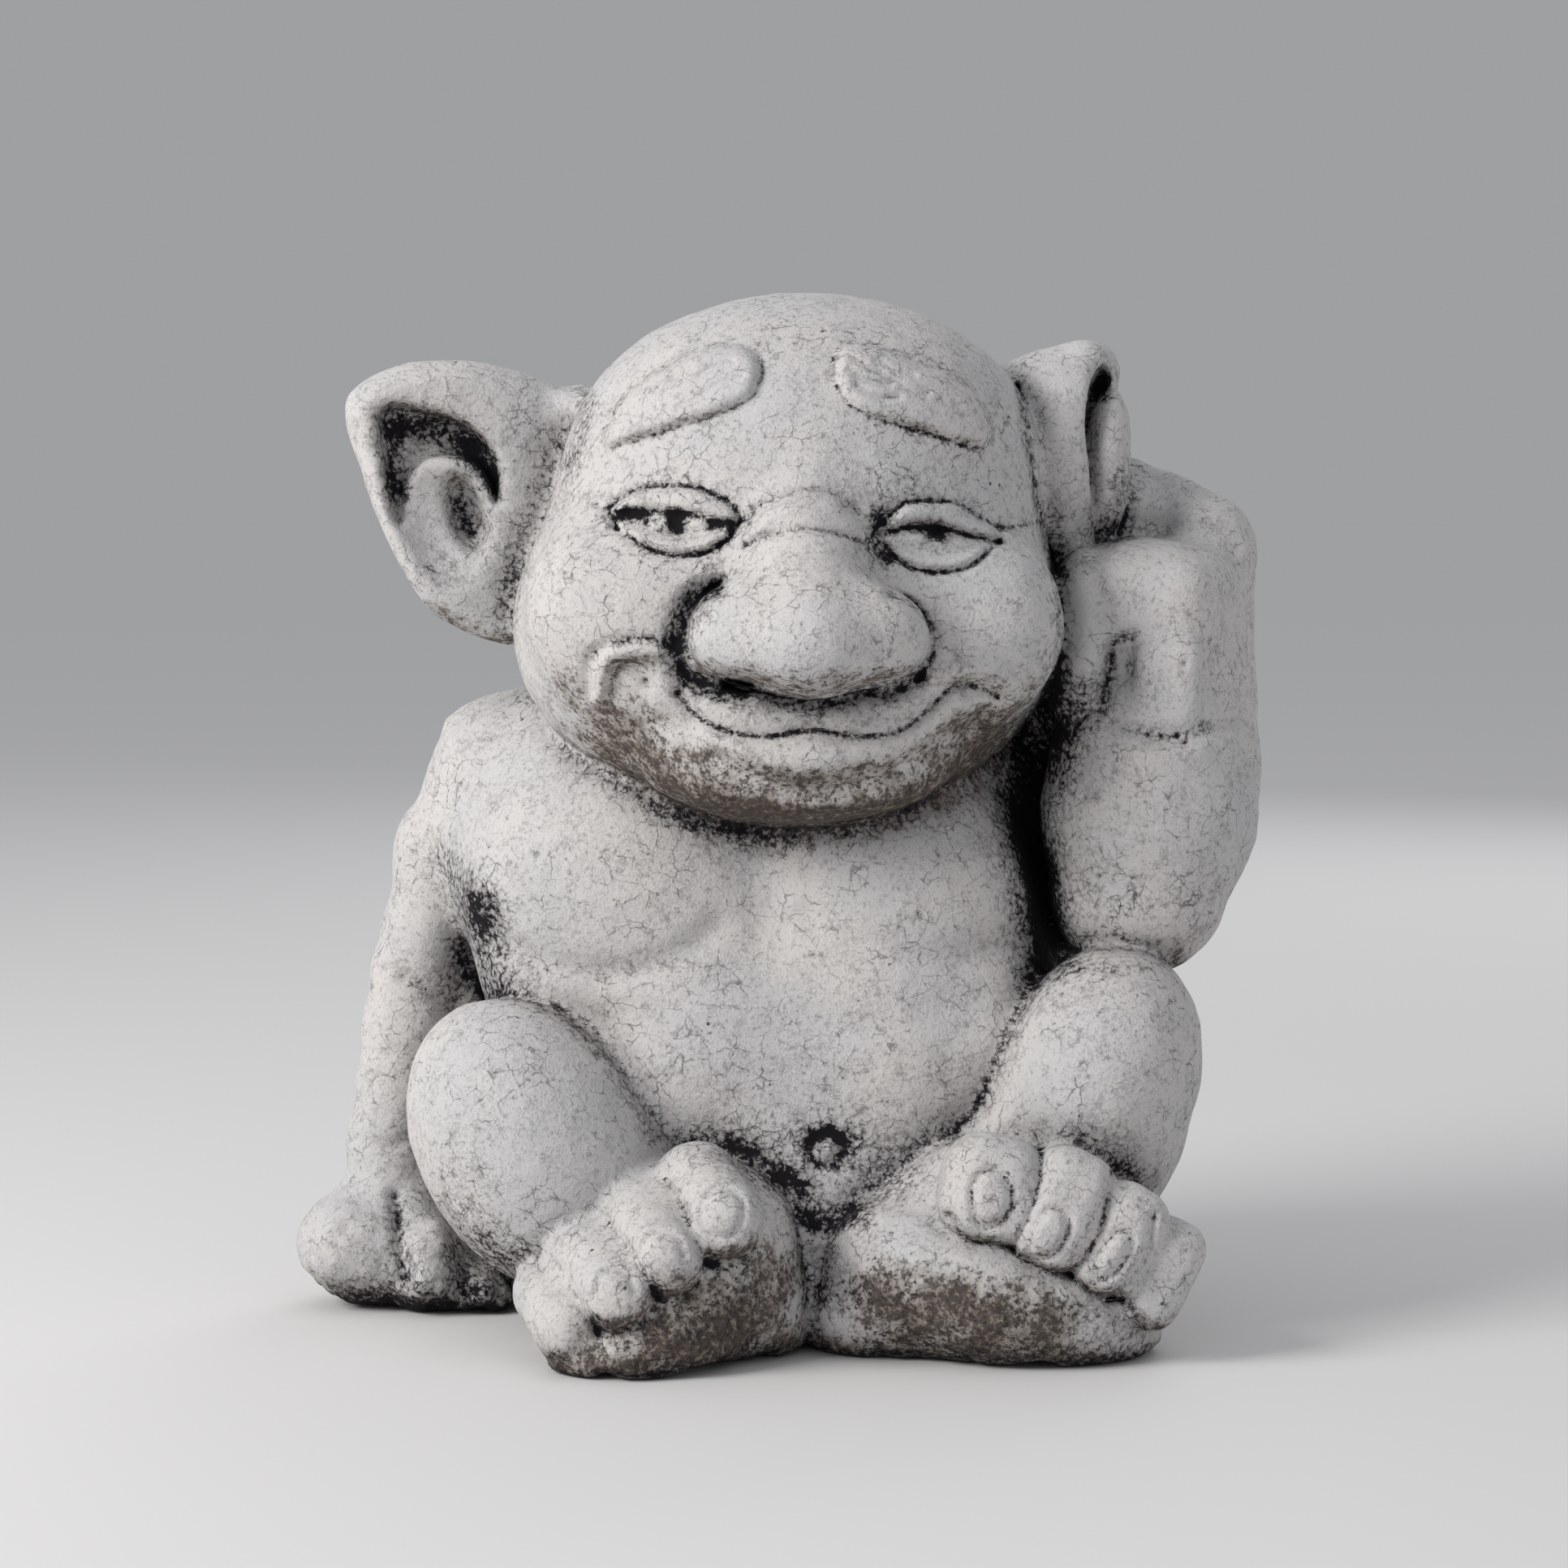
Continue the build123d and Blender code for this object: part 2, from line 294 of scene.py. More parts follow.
LEFT_FOOT = Mass("footL", 2, [
    (4, ball((-22.4, -53, 17), (29, 26, 22), (0, -35, 0))),
    (8, ball((-3.9, -48, 9.5), (12, 20, 13))),
    (8, ball((-28.4, -70, 5.2), (20, 15, 9.5), (0, -12, 0))),
    (2.4, limb((-17.1, -56, 36.3), (-10.8, -75, 32.2), 9.5, 8.3)),
    (2.4, limb((-29.6, -58, 29.7), (-23, -79, 24.9), 9.5, 8)),
    (2.4, limb((-40.4, -60, 22.3), (-33.4, -80, 17.3), 9.1, 7.8)),
    (2.4, limb((-47.7, -58, 13.7), (-43.4, -76, 9.7), 8.4, 7.4))])

RIGHT_FOOT = Mass("footR", 2, [
    (4, ball((46.5, -50, 13.4), (37, 27.5, 18), (0, 16, 0))),
    (8, ball((21.5, -43, 8.6), (19, 22, 14))),
    (8, limb((29.7, -30, 23.1), (42.2, -48, 33.3), 15, 12)),
    (1.4, block((45.1, -63, 36.5), (10.8, 13, 11.8), 8.6, (-10, 12, 0))),
    (1.2, block((59.1, -65, 32.7), (9.2, 12.5, 13.2), 7.4, (-10, 28, 0))),
    (1.2, block((70.9, -64, 26.1), (8.2, 12, 12.6), 6.8, (-8, 32, 0))),
    (1.2, block((80.6, -60, 18.6), (6.8, 12, 12), 6, (-6, 26, 0)))])

# The spread ear is a bent plate with an outline on the view plane and a dished front.
EAR_CENTRE = np.array((-66.1, -6, 182.3), f32)
EAR_FACING = np.array([0.24, -0.97, 0], f32)
EAR_EDGE, EAR_HALF_THICKNESS = 6.0, 8.0         # rounding of the rim; half the plate
EAR_BEND = 0.0016
EAR_OUTLINE = smooth(path("""
-44.4,88.4 -48.4,88.2 -53.3,90.2 -60.7,92.7 -68.2,94.4 -75.3,94.9 -82.2,94.5 -88.2,93.1
-93.6,90.5 -96.9,87.8 -98,85.1 -98,81.1 -96.9,76.5 -95.5,72.2 -94,67.6 -92,61.6 -89.1,55.1
-86.5,50.2 -83.5,44.2 -79.5,39.1 -75.3,36 -70.7,33.8 -65.3,32 -59.3,31.6 -50.2,41.1
-41.1,59.3 -40.2,77.5"""), closed=True)
EAR_DISH = smooth(path("""
-90,83.3 -86.2,84.4 -80.7,83.3 -75.1,82 -70.5,79.5 -66.9,76.4 -64.7,71.8 -64,67.6 -64.5,63.3
-66.2,68.4 -68.4,71.3 -72.4,73.3 -76.7,73.6 -80.2,72.7 -83.1,70.2 -84.5,67.3 -85.3,63.3
-86.2,58.9 -87.6,61.8 -88.9,66.9 -89.6,72.7 -90.5,78.7"""), closed=True)


def ear_forward(points):
    """Distance in front of the ear's middle plane."""
    return (points - EAR_CENTRE) @ EAR_FACING


def ear_plate(points):
    edge = outline_distance(*project(points), EAR_OUTLINE)
    away = ear_forward(points) + EAR_BEND * ((points[:, 0] - EAR_CENTRE[0]) ** 2)
    across = np.maximum(edge + EAR_EDGE, 0)
    away = np.abs(away) * (EAR_EDGE / EAR_HALF_THICKNESS)
    return (np.sqrt(across * across + away * away) - EAR_EDGE).astype(f32)


def ear_dish(points):
    floor_level, rounding = -0.6, 4.0
    edge = outline_distance(*project(points), EAR_DISH)
    return smax(edge, floor_level - ear_forward(points), rounding)


def ear_form(field, half_size):
    half_size = np.array(half_size, f32)
    return field, EAR_CENTRE - half_size, EAR_CENTRE + half_size, False


SPREAD_EAR = Mass("earL", 3, [
    (4, ear_form(ear_plate, (34, 24, 38))),
    (3.6, cut(ear_form(ear_dish, (34, 30, 38)))),
    (4.5, cut(ball((-73.2, -17, 175.6), (8.6, 6.2, 12), (0, -16, 0)))),
    (2.6, cut(ball((-68.6, -14, 178), (4.4, 9.5, 9), (0, -16, 0)))),
    (4, ball((-43.5, -3, 201.7), (7, 9, 4)))])

CUPPED_EAR = Mass("earR", 2, [
    (4, ball((59.5, -4, 190), (11, 15, 23))),
    (6, tube([(67.7, -8, 210.9), (64.3, -12, 201.5), (62, -13, 185.9), (63.5, -12, 173.4)],
             [4.4, 8.3, 9.4, 6])),
    (4, ball((71.2, 3, 191), (7, 7.5, 24), (0, -4, 0))),
    (7, limb((52.6, -4, 206.3), (70.6, -4, 209.9), 5, 4.8)),
    (1.2, cut(ball((70.6, -14, 202.9), (2.7, 11, 8.5), (0, 10, 0)))),
    (2, cut(ball((71.5, -15, 189.8), (3.8, 12, 17), (0, -4, 0)))),
    (1.2, ball((72.7, -8, 188.6), (5.4, 9.5, 17.5), (0, 4, 0)))])

FIGURE = [TORSO, LEANING_ARM, LEFT_LEG, RIGHT_LEG, RAISED_ARM, HEAD, LEFT_FOOT, RIGHT_FOOT,
          SPREAD_EAR, CUPPED_EAR]


def noise3(points, scale, seed):
    """Smooth lattice noise, -1..1, cell size in millimetres."""
    n = 32
    lattice = np.random.RandomState(seed).rand(n, n, n).astype(f32) * 2 - 1
    q = points / scale + 1000.0
    i = np.floor(q).astype(np.int64)
    t = (q - i).astype(f32)
    t = t * t * (3 - 2 * t)
    out = np.zeros(len(points), f32)
    for a, b, c in CORNERS:
        wa, wb, wc = [t[:, q] if far else 1 - t[:, q] for q, far in enumerate((a, b, c))]
        out += wa * wb * wc * lattice[(i[:, 0] + a) % n, (i[:, 1] + b) % n, (i[:, 2] + c) % n]
    return out


def underside(points):
    """Height of the rough cast underside above the ground."""
    flat = np.stack([points[:, 0], points[:, 1], points[:, 0] * 0], 1)
    n = noise3(flat, 7.0, 5)
    n += 0.5 * noise3(flat, 3.0, 6)
    return np.clip(n * 2.4, 0, 2.6)


def whole(points, base=True):
    """Field of the whole figure, with or without its flat base cut."""
    out = np.empty(len(points), f32)
    chunk = 400000
    for i in range(0, len(points), chunk):
        part = points[i:i + chunk]
        d = np.full(len(part), 60.0, f32)
        for mass in FIGURE:
            d = smin(d, mass.at(part), mass.blend)
        if base:
            d = smax(d, underside(part) - part[:, 2], 1.2)
        out[i:i + chunk] = d
    return out


# ---------------------------------------------------------------------- meshing
def mesh_field(field, low, high, h, r=5):
    """Closed quad mesh of field = 0: surface nets of spacing h, worked out only in
    blocks of r cells near the surface."""
    low, high = np.array(low, float), np.array(high, float)
    nc = np.ceil((high - low) / h / r).astype(int) + 1
    n = (nc - 1) * r + 1
    axes = [low[i] + np.arange(nc[i]) * h * r for i in range(3)]
    grid = np.stack(np.meshgrid(*axes, indexing="ij"), -1).reshape(-1, 3).astype(f32)
    coarse = field(grid).reshape(nc)

    def corner(array, a, b, c):
        """The array seen from one corner of each of its cells."""
        x, y, z = array.shape
        return array[a:x - 1 + a, b:y - 1 + b, c:z - 1 + c]
    near = np.abs(coarse) < h * r * 1.9
    blocks = np.zeros(nc - 1, bool)
    for abc in CORNERS:
        blocks |= corner(near, *abc)
    F = np.where(coarse < 0, -5, 5).astype(f32)
    for q in range(3):
        F = np.repeat(F, r, q)
    F = F[:n[0], :n[1], :n[2]].copy()
    mask = np.zeros(n, bool)
    for i, j, k in np.argwhere(blocks):
        mask[i * r:i * r + r + 1, j * r:j * r + r + 1, k * r:k * r + r + 1] = True
    F[mask] = field((low + np.argwhere(mask) * h).astype(f32))

    # one vertex in each cell the surface crosses, at the mean of its edge crossings
    solid = F < 0
    count = np.zeros(tuple(n - 1), np.uint8)
    for abc in CORNERS:
        count += corner(solid, *abc)
    active = (count > 0) & (count < 8)
    cells = np.argwhere(active)
    ids = np.full(active.shape, -1, np.int32)
    ids[active] = np.arange(len(cells), dtype=np.int32)
    value = {c: F[tuple((cells + c).T)] for c in CORNERS}
    total = np.zeros((len(cells), 3))
    crossings = np.zeros(len(cells))
    for c in CORNERS:
        for q in range(3):
            if c[q] == 0:
                end = c[:q] + (1,) + c[q + 1:]
                f0, f1 = value[c], value[end]
                crossed = (f0 < 0) != (f1 < 0)
                t = np.where(crossed, f0 / np.where(f0 == f1, 1, f0 - f1), 0)
                for w in range(3):
                    total[:, w] += np.where(crossed, c[w] + (t if w == q else 0), 0)
                crossings += crossed
    V = low + (cells + total / crossings[:, None]) * h

    # one quad around each grid edge the surface crosses
    quads = []
    for q in range(3):
        first, second = [slice(None)] * 3, [slice(None)] * 3
        first[q], second[q] = slice(0, -1), slice(1, None)
        start, stop = solid[tuple(first)], solid[tuple(second)]
        o1, o2 = [w for w in range(3) if w != q]
        e = np.argwhere(start != stop)
        e = e[(e[:, o1] > 0) & (e[:, o2] > 0) & (e[:, o1] < n[o1] - 1) & (e[:, o2] < n[o2] - 1)]

        def cell_id(d1, d2):
            g = e.copy()
            g[:, o1] += d1
            g[:, o2] += d2
            return ids[tuple(g.T)]
        loop = np.stack([cell_id(*d) for d in ((-1, -1), (0, -1), (0, 0), (-1, 0))], 1)
        inside = start[tuple(e.T)]
        keep = inside if q != 1 else ~inside
        quads.append(np.where(keep[:, None], loop, loop[:, ::-1]))
    return V, np.concatenate(quads)


def normals(V, Q):
    face = np.cross(V[Q[:, 2]] - V[Q[:, 0]], V[Q[:, 3]] - V[Q[:, 1]])
    N = np.zeros_like(V)
    for i in range(4):
        for q in range(3):
            N[:, q] += np.bincount(Q[:, i], face[:, q], len(V))
    return N / np.maximum(np.linalg.norm(N, axis=1, keepdims=True), 1e-9)


class Neighbours:
    """Neighbour averaging over the mesh."""
    def __init__(self, Q, count):
        e = np.concatenate([Q[:, [0, 1]], Q[:, [1, 2]], Q[:, [2, 3]], Q[:, [3, 0]]])
        self.here = np.concatenate([e[:, 0], e[:, 1]])
        self.there = np.concatenate([e[:, 1], e[:, 0]])
        self.count = count
        self.valence = np.maximum(np.bincount(self.here, minlength=count), 1)

    def mean(self, x):
        if x.ndim == 1:
            return np.bincount(self.here, x[self.there], self.count) / self.valence
        return np.stack([self.mean(x[:, q]) for q in range(x.shape[1])], 1)

    def blur(self, x, rounds):
        for _ in range(rounds):
            x = x + (self.mean(x) - x) * 0.5
        return x


# ----------------------------------------------------------------- fine relief
def table_rows(text):
    """(head, path) of each "head: path" line; lines that start with a space run on."""
    for line in text.replace("\n ", " ").splitlines():
        if line and line[0] != "#":
            head, _, rest = line.partition(":")
            yield head, rest


# Paths that more than one tool mark follows.
SHARED_PATHS = dict(table_rows("""
left_brow: -40.4,76.5 -39.6,81.1 -34.7,88.4 -26.5,94.5 -15.6,98.2 -8,97.8 -5.1,93.8 -5.8,89.3
 -8.4,85.8 -17.5,81.8 -30.2,78 -37.5,75.6
right_brow: 10.9,94.2 13.5,98.2 20.7,98.2 29.8,95.3 38.9,90.9 44.7,84.7 46.9,78.4 43.3,75.3
 30,79.3 19.3,82.4 12.7,87.1
left_upper_lid: -39.3,61.6 -36.7,64.2 -34,65.7 -31.1,66.5 -25.5,66.9 -19.3,66.5 -15.5,64.7
 -12.2,63.1 -10.2,60.5 -9.8,58.7
left_lower_lid: -31.8,53.5 -28,51.9 -24.4,51.2 -20.7,51.2 -17.3,51.8 -14.7,53.5 -12.2,55.6
right_upper_lid: 26,62.6 29.5,63.3 34.4,63.5 38.5,62.9 42.9,60.5 48.5,57.4
right_lid_edge: 23.6,56.4 27.6,57.5 32.4,57.6 37.3,56.8 41.5,55.6 45.6,54.6 48,54.3
right_lower_lid: 33.6,47.4 38.5,47.7 42.9,49.5 46,52.5 48.2,54.2
lower_wrinkle: -8.7,53.5 -3.8,55.6 2.7,56.9 9.6,56.5 15.3,54.9 18.2,52.7
upper_wrinkle: -8.4,59.3 -5.8,61.8 -1.1,64 5.5,65.3 12,64.5 16.7,61.1
ear_crease: 52.4,89.3 54.2,81.1 55.3,73.3 56.2,65.8 58.5,55.6 60.5,48.4
nail_1: 42,-93.8 42.5,-89.1 45.3,-86.7 48.5,-87.3 50.9,-90.2 50.9,-94.5 49.1,-97.8 45.8,-99.5
 43.1,-97.8 42,-93.8
nail_2: 54.9,-102.5 56.2,-98.5 59.3,-95.3 62.2,-95.6 64,-98 62.9,-102.2 60.4,-105.3 57.1,-106.5
 55.1,-105.3 54.9,-102.5
nail_3: 69.5,-107.3 71.3,-103.5 74.4,-100.5 77.1,-100.7 78,-103.5 76.2,-107.1 73.5,-110.2
 70.7,-110.7 69.5,-107.3
"""))

